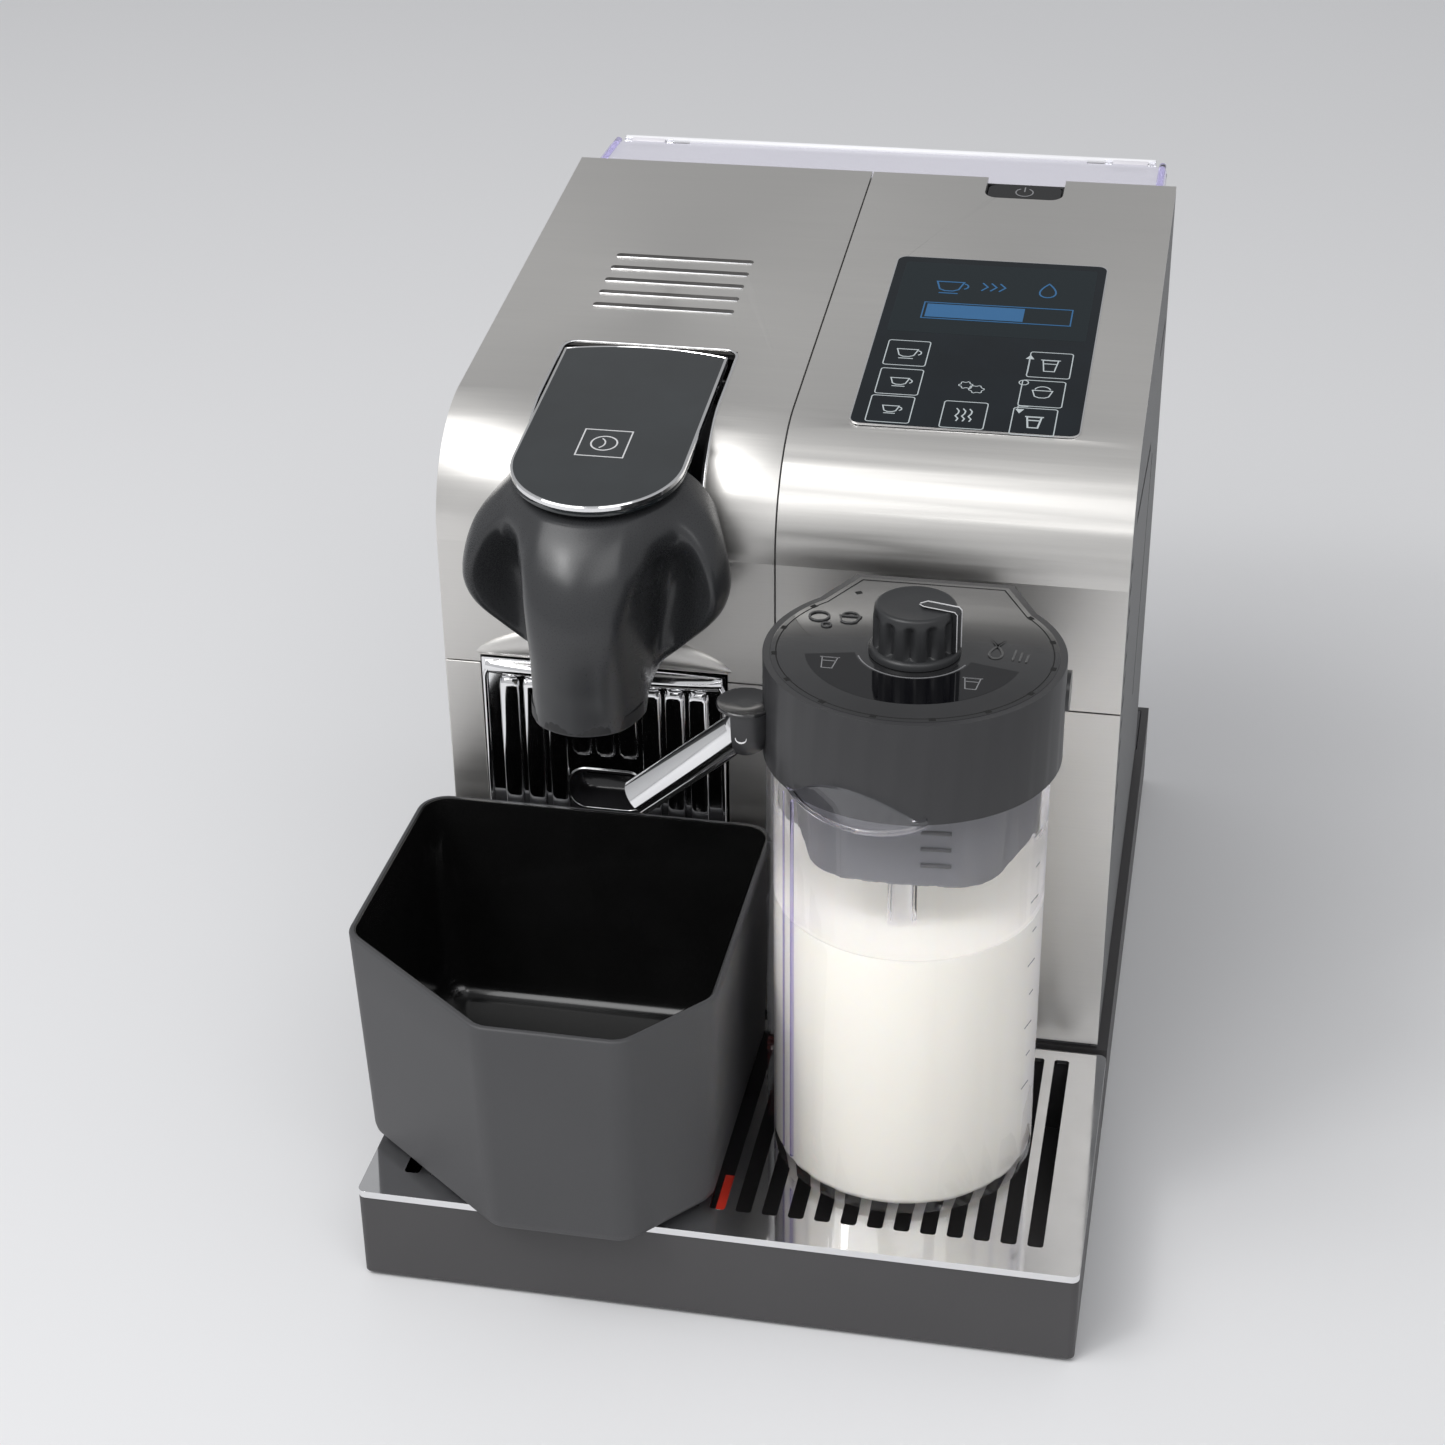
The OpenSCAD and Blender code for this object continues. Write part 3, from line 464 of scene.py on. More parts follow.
def brushed_steel(looks):
    """Steel brushed across, with a faint cloud in its tone."""
    finish = Finish("brushed steel")
    grain = finish.noise(1.0, 4.0, (25, 2200, 2200), 0.7)
    cloud = finish.noise(9.0, 3.0)
    tone = (grain*0.5 + cloud*0.5).clamp()
    finish.set(base_color=finish.colour(tone, shade(looks.steel, 0.9), shade(looks.steel, 1.06)),
               metallic=1.0, roughness=0.34 + grain*0.12 + cloud*0.06, anisotropic=0.35)
    finish.bump(grain, 0.012)


def chrome(looks, name, roughness=0.05, depth=1.0):
    """Polished metal with faint smears; depth scales its brightness."""
    finish = Finish(name)
    smear = finish.levels(finish.noise(70.0, 5.0), (0.42, 0.0), (0.75, 1.0))
    tone = finish.colour(smear, shade(looks.chrome, depth), shade(looks.chrome, 0.93*depth))
    finish.set(base_color=tone, metallic=1.0, roughness=roughness + smear*0.07)


def moulded(name, colour, roughness=0.42, grain=0.035, scale=2600.0):
    """Moulded plastic with a fine spark-eroded grain."""
    finish = Finish(name)
    fine = finish.noise(scale, 2.0)
    cloud = finish.noise(24.0, 3.0)
    finish.set(base_color=finish.colour(cloud, shade(colour, 0.9), shade(colour, 1.12)),
               roughness=roughness - 0.04 + fine*0.05 + cloud*0.05)
    finish.bump(fine, grain)
    return finish


def gloss(name, colour, roughness=0.07, coat=0.5, specular=0.5):
    """Polished dark plastic, with the faint swirls that wiping leaves."""
    finish = Finish(name)
    swirl = finish.levels(finish.noise(45.0, 6.0, roughness=0.6), (0.4, 0.0), (0.8, 1.0))
    finish.set(base_color=finish.colour(swirl, colour, shade(colour, 1.5)),
               roughness=roughness + swirl*0.06, coat_weight=coat, coat_roughness=0.03,
               specular_ior_level=specular)


def clear(name, tint, edge):
    """Clear plastic whose colour gathers where it is seen along its wall."""
    finish = Finish(name)
    grazing = finish.node("ShaderNodeLayerWeight", None, {"Blend": 0.35}, output="Facing")
    haze = finish.noise(30.0, 3.0)
    finish.set(base_color=finish.colour(grazing**2.5, tint, edge), roughness=0.02 + haze*0.02,
               transmission_weight=1.0, ior=1.16, coat_weight=0.7, coat_roughness=0.02)
    finish.let_light_through(shade(tint, 0.98))


def veiled(name, colour, edge):
    """Thin tinted plastic that veils what is behind it, deeper in colour along its wall."""
    finish = Finish(name)
    grazing = finish.node("ShaderNodeLayerWeight", None, {"Blend": 0.4}, output="Facing")
    haze = finish.noise(40.0, 3.0)
    finish.set(base_color=finish.colour(grazing**4.0, colour, edge), roughness=0.12 + haze*0.04,
               alpha=0.78 + haze*0.08)


def milk(looks, name, strength):
    """Milk, lit a little from within: painted light, an emission that stands in for the light that the
    jug's wall and lid keep from it.
    """
    finish = Finish(name)
    cloud = finish.noise(18.0, 3.0)
    finish.set(base_color=finish.colour(cloud, shade(looks.milk, 0.985), looks.milk),
               roughness=0.22 + cloud*0.05, subsurface_weight=0.35, subsurface_scale=0.004,
               subsurface_radius=(1.0, 0.85, 0.6),
               emission_color=shade(looks.milk, 0.98), emission_strength=strength)


def glowing(name, colour, strength):
    """A lit part of the display."""
    finish = Finish(name)
    cloud = finish.noise(300.0, 2.0)
    lit = finish.colour(cloud, shade(colour, 0.93), colour)
    finish.set(base_color=shade(colour, 0.4), emission_color=lit, emission_strength=strength,
               roughness=0.35, specular_ior_level=0.2)


def circuit_board():
    """Green lacquer over fine tracks."""
    finish = Finish("circuit board")
    tracks = finish.levels(finish.noise(700.0, 0.0, (1, 0.2, 1)), (0.49, 0.0), (0.51, 1.0))
    finish.set(base_color=finish.colour(tracks, (0.01, 0.09, 0.04), (0.02, 0.16, 0.07)),
               roughness=0.35 + tracks*0.1)
    finish.bump(tracks, 0.04)


def make_metals(looks):
    """Every metal but the heater's alloy."""
    brushed_steel(looks)
    chrome(looks, "bright chrome")
    chrome(looks, "pin steel", roughness=0.22)
    chrome(looks, "polished steel", roughness=0.14)
    # Chrome at half brightness: painted shade for the dark reflections in the finger hole's lip.
    chrome(looks, "rib chrome with painted shade", roughness=0.1, depth=0.5)


def make_plastics(looks):
    """The moulded and the polished plastics."""
    moulded("base plastic", looks.base, roughness=0.45)
    moulded("side plastic", looks.side, roughness=0.5, grain=0.05)
    moulded("charcoal plastic", looks.head, roughness=0.27, grain=0.012)
    moulded("lid plastic", looks.lid, roughness=0.36, grain=0.02)
    moulded("bin plastic", looks.bin, roughness=0.5, grain=0.05)
    moulded("knob plastic", shade(looks.head, 0.8), roughness=0.4, grain=0.02)
    moulded("inner plastic", (0.09, 0.09, 0.095), roughness=0.55, grain=0.04)
    moulded("insert plastic", (0.19, 0.19, 0.205), roughness=0.4, grain=0.02)
    moulded("black plastic", (0.012, 0.012, 0.013), roughness=0.45)
    moulded("pump plastic", (0.5, 0.5, 0.46), roughness=0.5)
    moulded("float red", (0.55, 0.03, 0.015), roughness=0.35, grain=0.02)
    gloss("lever gloss", (0.012, 0.015, 0.017))
    # The bin's inside: glossy for its wet plastic, and near-black as painted shade within the bin.
    gloss("bin gloss with painted shade", (0.006, 0.006, 0.006), roughness=0.16, coat=0.3)
    gloss("dial gloss", (0.014, 0.014, 0.015), roughness=0.16, coat=0.4)
    gloss("dial relief", (0.05, 0.05, 0.05), roughness=0.12, coat=0.4)
    gloss("window gloss", (0.003, 0.003, 0.004), roughness=0.05, coat=0.2, specular=0.3)
    gloss("side gloss", (0.012, 0.012, 0.013), roughness=0.2, coat=0.3)
    gloss("display gloss", (0.004, 0.007, 0.010), roughness=0.1, coat=0.0, specular=0.2)


def make_rubbers_and_alloys():
    """What is worn by the pieces inside and below."""
    moulded("gland rubber", (0.014, 0.014, 0.015), roughness=0.65, grain=0.05)
    moulded("foot rubber", (0.02, 0.02, 0.02), roughness=0.8, grain=0.08, scale=1400.0)
    moulded("hose rubber", (0.62, 0.62, 0.58), roughness=0.5)
    moulded("seal rubber", (0.5, 0.5, 0.5), roughness=0.6)
    moulded("heater alloy", (0.42, 0.42, 0.44), roughness=0.4, grain=0.1, scale=900.0).set(metallic=1.0)
    circuit_board()


def make_prints():
    """Printed marks, the painted shade of the lid's groove, and the lit parts of the display."""
    moulded("pale print", (0.62, 0.62, 0.63), roughness=0.5, grain=0.005)
    moulded("pale rim", (0.86, 0.86, 0.88), roughness=0.3, grain=0.005)
    moulded("grey print", (0.22, 0.22, 0.23), roughness=0.4, grain=0.005)
    # Near-black: painted shade that stands for the lid's groove and its notches.
    moulded("painted groove shade", (0.004, 0.004, 0.004), roughness=0.8)
    glowing("display ink", (0.62, 0.68, 0.70), 0.4)
    glowing("display blue", (0.03, 0.11, 0.24), 0.8)
    glowing("display glow", (0.006, 0.011, 0.014), 0.8)


def make_clear_plastics_and_milk(looks):
    """What light goes through."""
    clear("clear jug", (0.985, 0.985, 1.0), (0.55, 0.52, 0.86))
    clear("violet edge", (0.62, 0.58, 0.86), (0.30, 0.26, 0.60))
    clear("clear tank", (0.97, 0.97, 1.0), (0.40, 0.45, 0.85))
    veiled("pale tank", (0.86, 0.84, 0.88), (0.30, 0.34, 0.66))
    # Both milk finishes glow as painted light, the top most, standing in for the light that the jug's wall
    # and lid keep from the milk.
    milk(looks, "milk", 0.05)
    milk(looks, "glowing milk surface", 0.30)


# Each finish with the rounding in millimetres that it gives to edges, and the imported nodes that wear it.
WEARS = {
    "brushed steel": (0.35, ["coffee_side_steel", "milk_side_steel", "lower_left_steel",
                             "lower_right_steel"]),
    "bright chrome": (0.3, ["lever_rim", "drip_grille", "milk_spout"]),
    "pin steel": (0.2, ["lever_pin", "brew_piston", "piston_rod", "tank_hinge_pin", "chassis_screws"]),
    "base plastic": (0.8, ["base_pan", "bottom_cover", "drip_tray"]),
    "side plastic": (0.6, ["left_side_panel", "right_side_panel", "rear_cover"]),
    "charcoal plastic": (0.3, ["lever_arm", "left_release_button", "right_release_button"]),
    "lid plastic": (0.7, ["jug_lid"]),
    "insert plastic": (0.4, ["lid_insert"]),
    "inner plastic": (0.4, ["front_shell", "brew_frame", "tank_cradle"]),
    "gland rubber": (0.0, ["cord_gland"]),
    "black plastic": (0.3, ["power_button_cup", "power_button", "capsule_holder", "coffee_outlet",
                            "head_back_plate", "capsule_bin", "pump_mounts", "tank_valve", "steam_valve"]),
    "foot rubber": (0.3, ["rubber_feet"]),
    "pump plastic": (0.3, ["water_pump", "flow_meter"]),
    "heater alloy": (0.4, ["heating_block", "steam_nozzle"]),
    "hose rubber": (0.0, ["cold_hose", "hot_hose"]),
    "seal rubber": (0.0, ["lid_seal"]),
    "float red": (0.2, ["tray_float"]),
    "lever gloss": (0.2, ["lever_plate"]),
    "display gloss": (0.2, ["display_glass"]),
    "dial gloss": (0.15, ["lid_dial_face"]),
    "circuit board": (0.0, ["display_board", "control_board"]),
    "clear jug": (0.3, ["milk_jug", "milk_suction_tube"]),
    "clear tank": (0.5, ["water_tank"]),
    "pale tank": (0.4, ["tank_lid"]),
}


def dress_nodes():
    """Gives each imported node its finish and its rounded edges."""
    for finish, (edge, names) in WEARS.items():
        for name in names:
            node = NODES[name]
            node.data.materials.clear()
            node.data.materials.append(bpy.data.materials[finish])
            if edge:
                soften(node, edge)


# ---- coffee head ----

HEAD_Y = -29.0      # middle of the coffee outlet
HEAD_FOOT = 147.0   # lowest edge of the shield
# The hole that the outlet stands in, from its edge up to its end, as (radius, height).
OUTLET_HOLE = ((13.4, HEAD_FOOT), (13.0, 147.6), (13.0, 171.5))
# Half sections of the shield, from the nose's front round to the panel behind: (x, y) from the lever's
# middle plane and the front face. The first number is the section's height at the panel, and the
# second how much it leans with the sloping top.
NOSE_FOOT = [(0, -44.5), (11, -40), (15.5, -29), (14.6, -22),
             (12.8, -18.5), (9, -15.8), (5, -14), (0, -13.5)]
HEAD_SECTIONS = [
    (HEAD_FOOT, 0.0, NOSE_FOOT),
    (150.5, 0.0, [(0, -44.7), (11, -40.1), (15.5, -29), (15.2, -20),
                  (15, -14), (14.9, -9), (14.8, -5), (14.6, -1)]),
    (154.5, 0.0, [(0, -45), (11, -40.5), (15.4, -29), (15.8, -20),
                  (16.6, -15), (17.2, -10), (17.2, -6), (16.6, -1)]),
    (160.0, 0.05, [(0, -45.5), (11, -41), (15.3, -30), (16.4, -19.6),
                   (19.4, -16.6), (22.0, -14.6), (22.2, -8), (20.8, -1)]),
    (166.5, 0.15, [(0, -46.3), (11, -41.9), (15.1, -30.6), (16.8, -17.4),
                   (21.4, -15.6), (27.0, -18.2), (29.0, -11.6), (26.6, -1)]),
    (173.5, 0.3, [(0, -47.1), (11.3, -42.7), (15, -31.2), (17.2, -15.4),
                  (23.4, -14), (31.4, -21.2), (34.6, -14), (31.4, -1)]),
    (181.0, 0.5, [(0, -47.4), (11.6, -43), (15.2, -31.6), (17.6, -15.2),
                  (24.6, -13.8), (33.6, -22.8), (37.0, -14.6), (33, -1)]),
    (188.5, 0.7, [(0, -46.0), (12, -41.9), (15.9, -32.0), (18.2, -18),
                  (24.6, -15.6), (33.0, -23.0), (36.4, -14.8), (32, -1)]),
    (195.5, 0.85, [(0, -43.2), (11.8, -39.6), (16.6, -32.4), (19.4, -23.4),
                   (24.6, -19.6), (31.0, -21.6), (34.4, -14), (31, -1)]),
    (200.5, 0.95, [(0, -39.8), (10.8, -37.0), (16.0, -31.4), (19.6, -25.8),
                   (23.6, -21.4), (28.4, -19.6), (31.4, -13), (29, -1)]),
    (204.5, 1.0, [(0, -36.0), (9.8, -33.9), (15.0, -29.6), (18.8, -25.2),
                  (22.2, -21.2), (25.0, -17.6), (27.4, -12), (26, -1)]),
    (207.8, 1.0, [(0, -31.6), (8.8, -30.1), (14.0, -26.7), (17.6, -23.0),
                  (20.2, -19.2), (22.2, -15.0), (23.4, -10), (23, -2)]),
]


def head_levels():
    """The sections, with a smooth curve through each of their points from one to the next."""
    steps = 4
    tracks = [spline([(*section[k], height) for height, _, section in HEAD_SECTIONS], steps)
              for k in range(len(NOSE_FOOT))]
    leans = spline([(lean, 0) for _, lean, _ in HEAD_SECTIONS], steps)
    return [(points[0].z, lean.x, [(p.x, p.y) for p in points])
            for points, lean in zip(zip(*tracks), leans)]


def coffee_head():
    """The moulded shield, with the hole for the outlet in its foot."""
    form = Form()
    loops = []
    for height, lean, section in head_levels():
        whole = spline([(-x, y) for x, y in reversed(section[1:])] + section, 6)
        loops.append([at(COFFEE_X + p.x, p.y, height + lean*p.y*math.tan(PITCH)) for p in whole])
    edge = form.loft(loops, start=False)[0]
    axis = at(COFFEE_X, HEAD_Y, 0)
    turns = [math.atan2(form.points[k].y - axis.y, form.points[k].x - axis.x) for k in edge]
    for radius, height in OUTLET_HOLE:
        ring = form.loop([at(COFFEE_X + radius*math.cos(a), HEAD_Y + radius*math.sin(a), height)
                          for a in turns])
        form.bridge(ring, edge)
        edge = ring
    form.face(edge)
    make("coffee_shield", form, ["charcoal plastic"], "machine",
         ["coffee_head"], smooth=50)


# ---- ribbed front ----

RIB_X = -49.5            # middle of the ribbed front
RIB_FOOT = 30.3
RIB_TOP = SEAM_Z + 2
RIB_W = 71.0
RIB_LEFT = RIB_X - RIB_W/2
RIB_RIGHT = RIB_X + RIB_W/2
RIBS = range(-4, 5)      # numbers of the ribs, counted from the middle one
MIDDLE_RIBS = 1          # the ribs up to this number break off round the finger hole
RIB_BELOW = 1.0          # plain metal below the ribs
RIB_ABOVE = 5.5          # plain metal above them
GRIP = (RIB_X - 11.5, 98.0, RIB_X + 11.5, 111.0)    # the finger hole: left, bottom, right, top
GRIP_R = 5.5             # its corners
GRIP_OUTLINE = rectangle(*GRIP, radius=GRIP_R, steps=8)
GRIP_MARGIN = 4.5        # plain metal above and below it
RIB_BREAK = 90.0         # below this height a middle rib counts to its stretch under the hole
PANEL_FRONT = -0.6
PANEL_BACK = 1.7
ROWS_BELOW_GRIP = (50.0, 75.0)
ROW_ABOVE_GRIP = 128.0


def rib_relief(sizes, x, z):
    """How far the ribbed front stands out at a place on it."""
    pitch = sizes.rib_pitch/MM
    half = sizes.rib_width/MM/2
    k = round((x - RIB_X)/pitch)
    if k not in RIBS:
        return 0.0
    low = RIB_FOOT + RIB_BELOW
    high = RIB_TOP - RIB_ABOVE
    if abs(k) <= MIDDLE_RIBS:
        if z > RIB_BREAK:
            low = GRIP[3] + GRIP_MARGIN
        else:
            high = GRIP[1] - GRIP_MARGIN
    middle = min(max(z, low + half), high - half)
    away = math.hypot(abs(x - RIB_X - k*pitch), z - middle)/half
    if away >= 1:
        return 0.0
    return sizes.rib_relief/MM*(1 - away**7)**0.5


def rib_columns(sizes):
    """Places across the panel, close together on the flanks of each rib."""
    half = sizes.rib_width/MM/2
    flank = (0.4, 0.76, 0.88, 0.95, 0.985, 1.0)
    fractions = [-f for f in reversed(flank)] + list(flank)
    columns = [RIB_X + k*sizes.rib_pitch/MM + f*half for k in RIBS for f in fractions]
    margin = 0.6
    return [RIB_LEFT, RIB_LEFT + margin, *columns, RIB_RIGHT - margin, RIB_RIGHT]


def rib_rows(sizes):
    """Heights up the panel, close together where the ribs end."""
    steps = [sizes.rib_width/MM/2*f for f in (0.0, 0.04, 0.14, 0.3, 0.55, 0.8, 1.0)]
    rows = [RIB_FOOT] + [RIB_FOOT + RIB_BELOW + d for d in steps] + list(ROWS_BELOW_GRIP)
    rows += [GRIP[1] - GRIP_MARGIN - d for d in reversed(steps)]
    rows += [GRIP[1], (GRIP[1] + GRIP[3])/2, GRIP[3]]
    rows += [GRIP[3] + GRIP_MARGIN + d for d in steps] + [ROW_ABOVE_GRIP]
    rows += [RIB_TOP - RIB_ABOVE - d for d in reversed(steps)] + [RIB_TOP - 3, RIB_TOP - 0.5, RIB_TOP]
    return rows


def ribbed_panel(sizes):
    """The bright panel with its ribs, cut through at the finger hole."""
    form = Form()
    xs = rib_columns(sizes)
    zs = rib_rows(sizes)
    grid = [form.loop([at(x, PANEL_FRONT - rib_relief(sizes, x, z), z) for x in xs]) for z in zs]
    corners = ((xs[0], zs[0]), (xs[-1], zs[0]), (xs[-1], zs[-1]), (xs[0], zs[-1]))
    back = form.loop([at(x, PANEL_BACK, z) for x, z in corners])
    for a, b in zip(grid, grid[1:]):
        form.bridge(a, b, closed=False)
    form.face(back)
    form.face(grid[0] + [back[1], back[0]])
    form.face(list(reversed(grid[-1])) + [back[3], back[2]])
    form.face([row[0] for row in reversed(grid)] + [back[0], back[3]])
    form.face([row[-1] for row in grid] + [back[2], back[1]])
    panel = make("ribbed_panel", form, ["bright chrome"], "tray",
                 ["ribbed_front"], smooth=40)
    hole = Form()
    hole.loft([[at(x, y, z) for x, z in GRIP_OUTLINE] for y in (-6, 6)])
    carve(panel, hole)


def grip_rim():
    """The thin lip of the finger hole, and the cup behind it."""
    form = Form()
    form.tube([at(x, -0.75, z) for x, z in GRIP_OUTLINE], 0.32*MM, 8, closed=True)
    rows = []
    for inward, depth in ((0.0, -0.6), (0.35, 1.4), (1.2, 6.5), (3.0, 8.2)):
        ring = rounded(inset(rectangle(*GRIP), inward), max(GRIP_R - inward*0.6, 1), 8)
        rows.append([at(x, depth, z) for x, z in ring])
    form.loft(rows, 1, start=False)
    # The lip wears chrome at half brightness, painted shade.
    make("grip_rim", form, ["rib chrome with painted shade", "side gloss"], "tray", smooth=50)


def panel_frame():
    """The bright rod round the panel, and the swelling shoulder along its top."""
    form = Form()
    left = RIB_LEFT + 0.9
    right = RIB_RIGHT - 0.9
    foot = RIB_FOOT + 0.6
    corner = 5
    corner_z = RIB_TOP - 6.4
    path = [(left, foot)] + arc(left + corner, corner_z, corner, 180, 90, 10)
    path += arc(right - corner, corner_z, corner, 90, 0, 10) + [(right, foot)]
    form.tube([at(x, -0.9, z) for x, z in path], 0.75*MM)
    shoulder = []
    half = 12
    for k in range(-half, half + 1):
        x = RIB_X + k/half*(RIB_W/2 - 1.2)
        rise = math.sqrt(1 - (k/(half + 0.4))**2)
        section = [(0.9, 0.0), (-0.4, 0.0), (-2.0*rise - 0.7, 0.5), (-2.9*rise - 0.8, 1.7),
                   (-2.7*rise - 0.8, 3.0), (-1.6*rise - 0.6, 4.1), (0.9, 4.6)]
        shoulder.append([at(x, y, RIB_TOP - 5.0 + z) for y, z in section])
    form.loft(shoulder)
    make("panel_frame", form, ["bright chrome"], "tray", smooth=45)


def brow():
    """The bulge pressed in the steel over the ribbed front."""
    form = Form()
    rows = []
    low = RIB_TOP + 0.9
    half = 16
    for k in range(-half, half + 1):
        u = k/half
        rise = 1 - u*u
        height = 1.2 + 10.5*rise**0.8
        out = 0.25 + 3.1*rise**0.6
        section = [(0.4, 0.0)]
        for a in range(0, 181, 20):
            turn = math.radians(a)
            swell = math.sin(turn)**0.8*(1 - 0.45*a/180)
            section.append((0.2 - out*swell, height*(1 - math.cos(turn))/2))
        section.append((0.4, height))
        rows.append([at(RIB_X + u*(RIB_W/2 + 1.5), y, low + z) for y, z in section])
    form.loft(rows)
    make("steel_brow", form, ["brushed steel"], "machine", smooth=60)


# ---- loose bin ----

BIN_CORNERS = [(-104, -3), (-104, -78), (-58, -114), (-19, -114), (1, -90), (1, -3)]
BIN_FOOT = 30.3
BIN_H = 69.0
BIN_TOP = BIN_FOOT + BIN_H
BIN_OUTER_R = 8.5    # its upright corners outside
BIN_INNER_R = 6.8    # and inside
LEAST_BIN_R = 0.8


def bin_loop(inward, z, radius):
    """The bin's plan at a height, moved inwards from its rim."""
    return [at(x, y, z) for x, y in rounded(inset(BIN_CORNERS, inward), max(radius, LEAST_BIN_R), 8)]


def loose_bin(sizes):
    """The bin's wall, which leans out from a round foot to a round rim, with a smooth, near-black inside:
    its darkness is painted shade within the open bin.
    """
    form = Form()
    wall = sizes.bin_wall/MM

    def leaning(z):
        return sizes.bin_draft/MM*(BIN_TOP - z)/BIN_H

    def foot_loops(turns, radius, inward, bottom, corner):
        for turn in turns:
            drawn = 1 - math.cos(math.radians(turn))
            z = bottom + radius*(1 - math.sin(math.radians(turn)))
            yield bin_loop(leaning(z) + inward + radius*drawn, z, corner - 4*drawn)

    outer = list(foot_loops((90, 67, 45, 22, 0), 4.5, 0.0, BIN_FOOT, BIN_OUTER_R))
    outer += [bin_loop(leaning(z), z, BIN_OUTER_R) for z in (60, 85, BIN_TOP - 0.8)]
    outer += [bin_loop(0.25, BIN_TOP - 0.25, 8.3), bin_loop(0.7, BIN_TOP, 8)]
    inner = [bin_loop(wall - 0.6, BIN_TOP, 7.4), bin_loop(wall - 0.15, BIN_TOP - 0.25, 7),
             bin_loop(wall, BIN_TOP - 0.9, BIN_INNER_R)]
    inner += [bin_loop(leaning(z) + wall, z, BIN_INNER_R) for z in (80, 50)]
    inner += foot_loops((0, 30, 60, 90), 5, wall, BIN_FOOT + wall, BIN_INNER_R)
    outside = form.loft(outer, end=False)
    inside = form.loft(inner, 1, start=False)
    form.bridge(outside[-1], inside[0])
    make("loose_bin_shell", form, ["bin plastic", "bin gloss with painted shade"], "bin",
         ["loose_bin"], smooth=45)


# ---- milk jug ----

MILK_R = 35.0
MILK_FOOT = 32.1     # just above the jug's floor
JUG_R = 36.05        # a little outside the jug's wall
MARK_R = 36.2        # outer face of the marks on the wall


def jug_milk(sizes):
    """The milk, whose surface climbs a little at the wall."""
    form = Form()
    level = sizes.milk_level/MM
    axis = at(*JUG, 0)
    body = [(0.5, MILK_FOOT), (MILK_R - 4, MILK_FOOT), (MILK_R - 1.4, MILK_FOOT + 0.9),
            (MILK_R, MILK_FOOT + 3), (MILK_R, level + 0.8)]
    surface = [(MILK_R, level + 0.8), (MILK_R - 0.7, level + 0.25), (MILK_R - 2.2, level), (0.5, level)]
    form.lathe(body, axis, 96, end=False)
    form.lathe(surface, axis, 96, 1, start=False)
    # The milk and its surface glow: painted light.
    make("milk", form, ["milk", "glowing milk surface"], "jug", smooth=40)


def jug_insert():
    """The tapered chamber under the lid, with vent lines moulded in its right side, drawn in a darker
    plastic as painted shade in the vents.
    """
    low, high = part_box("lid_insert")
    x0, y0, z0 = [place/MM for place in low - ORIGIN]
    x1, y1, z1 = [place/MM for place in high - ORIGIN]

    def ring(inward, z, radius):
        return [at(x, y, z) for x, y in rounded(inset(rectangle(x0, y0, x1, y1), inward), radius, 8)]

    form = Form()
    form.loft([ring(5.6, z0, 8.0), ring(4.8, z0 + 0.8, 9.0), ring(2.2, z1, 11.0)])
    make("insert_chamber", form, ["insert plastic"], "lid", ["lid_insert"], smooth=40)
    lines = Form()
    for rise in (7, 12, 17):
        z = z0 + rise
        y = y0 + 4.6 - 2.4*(z - z0)/(z1 - z0) - 0.1
        # Darker rods: painted shade in the vent lines.
        lines.tube([at(x1 - 22, y, z), at(x1 - 15, y, z)], 0.6*MM, 8)
    make("insert_lines", lines, ["inner plastic"], "lid")


def fluted_loop(radius, z, depth, flutes):
    """A circle round the jug's axis, with grooves of some depth."""
    points = []
    for k in range(140):
        a = 2*math.pi*k/140
        r = radius - depth*(0.5 + 0.5*math.cos(a*flutes))**2.6
        points.append(on_lid(r*math.cos(a), r*math.sin(a), z))
    return points


def knob_grip(sizes):
    """The knob's collar and its fluted grip, from the lid up: height, radius and depth of the flutes."""
    profile = [(0.35, 11.8, 0.0), (1.5, 11.8, 0.0), (2.1, 11.5, 0.0), (2.4, 10.9, 0.0),
               (2.45, 10.75, 0.6), (3.0, 10.8, 1.5), (7.0, 10.8, 1.6), (10.4, 10.75, 1.45),
               (11.2, 10.7, 0.9), (11.7, 10.6, 0.2), (12.0, 10.5, 0.0), (13.0, 10.4, 0.0),
               (13.5, 10.1, 0.0), (13.75, 9.5, 0.0), (13.6, 9.0, 0.0), (13.45, 4.0, 0.0)]
    form = Form()
    form.loft([fluted_loop(radius, z, depth, sizes.knob_flutes) for z, radius, depth in profile])
    make("knob_grip", form, ["knob plastic"], "knob", ["froth_knob"], smooth=40)


def knob_pointer():
    """The fin across the knob's top and side, with a pale line along each of its edges."""
    turn = Matrix.Rotation(math.radians(-14), 3, "Z")

    def turned(r, side, z):
        spot = turn @ Vector((r, side, 0))
        return on_lid(spot.x, spot.y, z)

    fin = Form()
    side_view = [(1.2, 13.5), (2.6, 14.0), (11.0, 14.0), (11.75, 13.3), (11.75, 2.6), (10.4, 2.6),
                 (10.4, 12.9)]
    widths = [0.3] + [1.7]*6
    fin.loft([[turned(r, side*w, z) for (r, z), w in zip(side_view, widths)] for side in (-1, 1)])
    make("knob_pointer", fin, ["knob plastic"], "knob", smooth=30, bevel=0.2)
    line = Form()
    path = [(1.1, 0.25, 13.75), (2.6, 1.6, 14.05), (11.0, 1.6, 14.05), (11.7, 1.6, 13.4), (11.8, 1.6, 3.0)]
    for side, radius in ((-1, 0.13), (1, 0.2)):
        line.tube([turned(r, side*out, z) for r, out, z in path], radius*MM, 6)
    make("knob_mark", line, ["pale print"], "knob", smooth=60)


LID_R = 38.7
LID_BACK = 41.5      # how far back its flat lies


def lid_outline(inward):
    """The lid's plan, from the jug's axis: round, with a flat at its back."""
    side = 21 - inward*0.6
    back = LID_BACK - inward
    return arc(0, 0, LID_R - inward, 137.6, 402.4, 72) + [(side, back), (-side, back)]


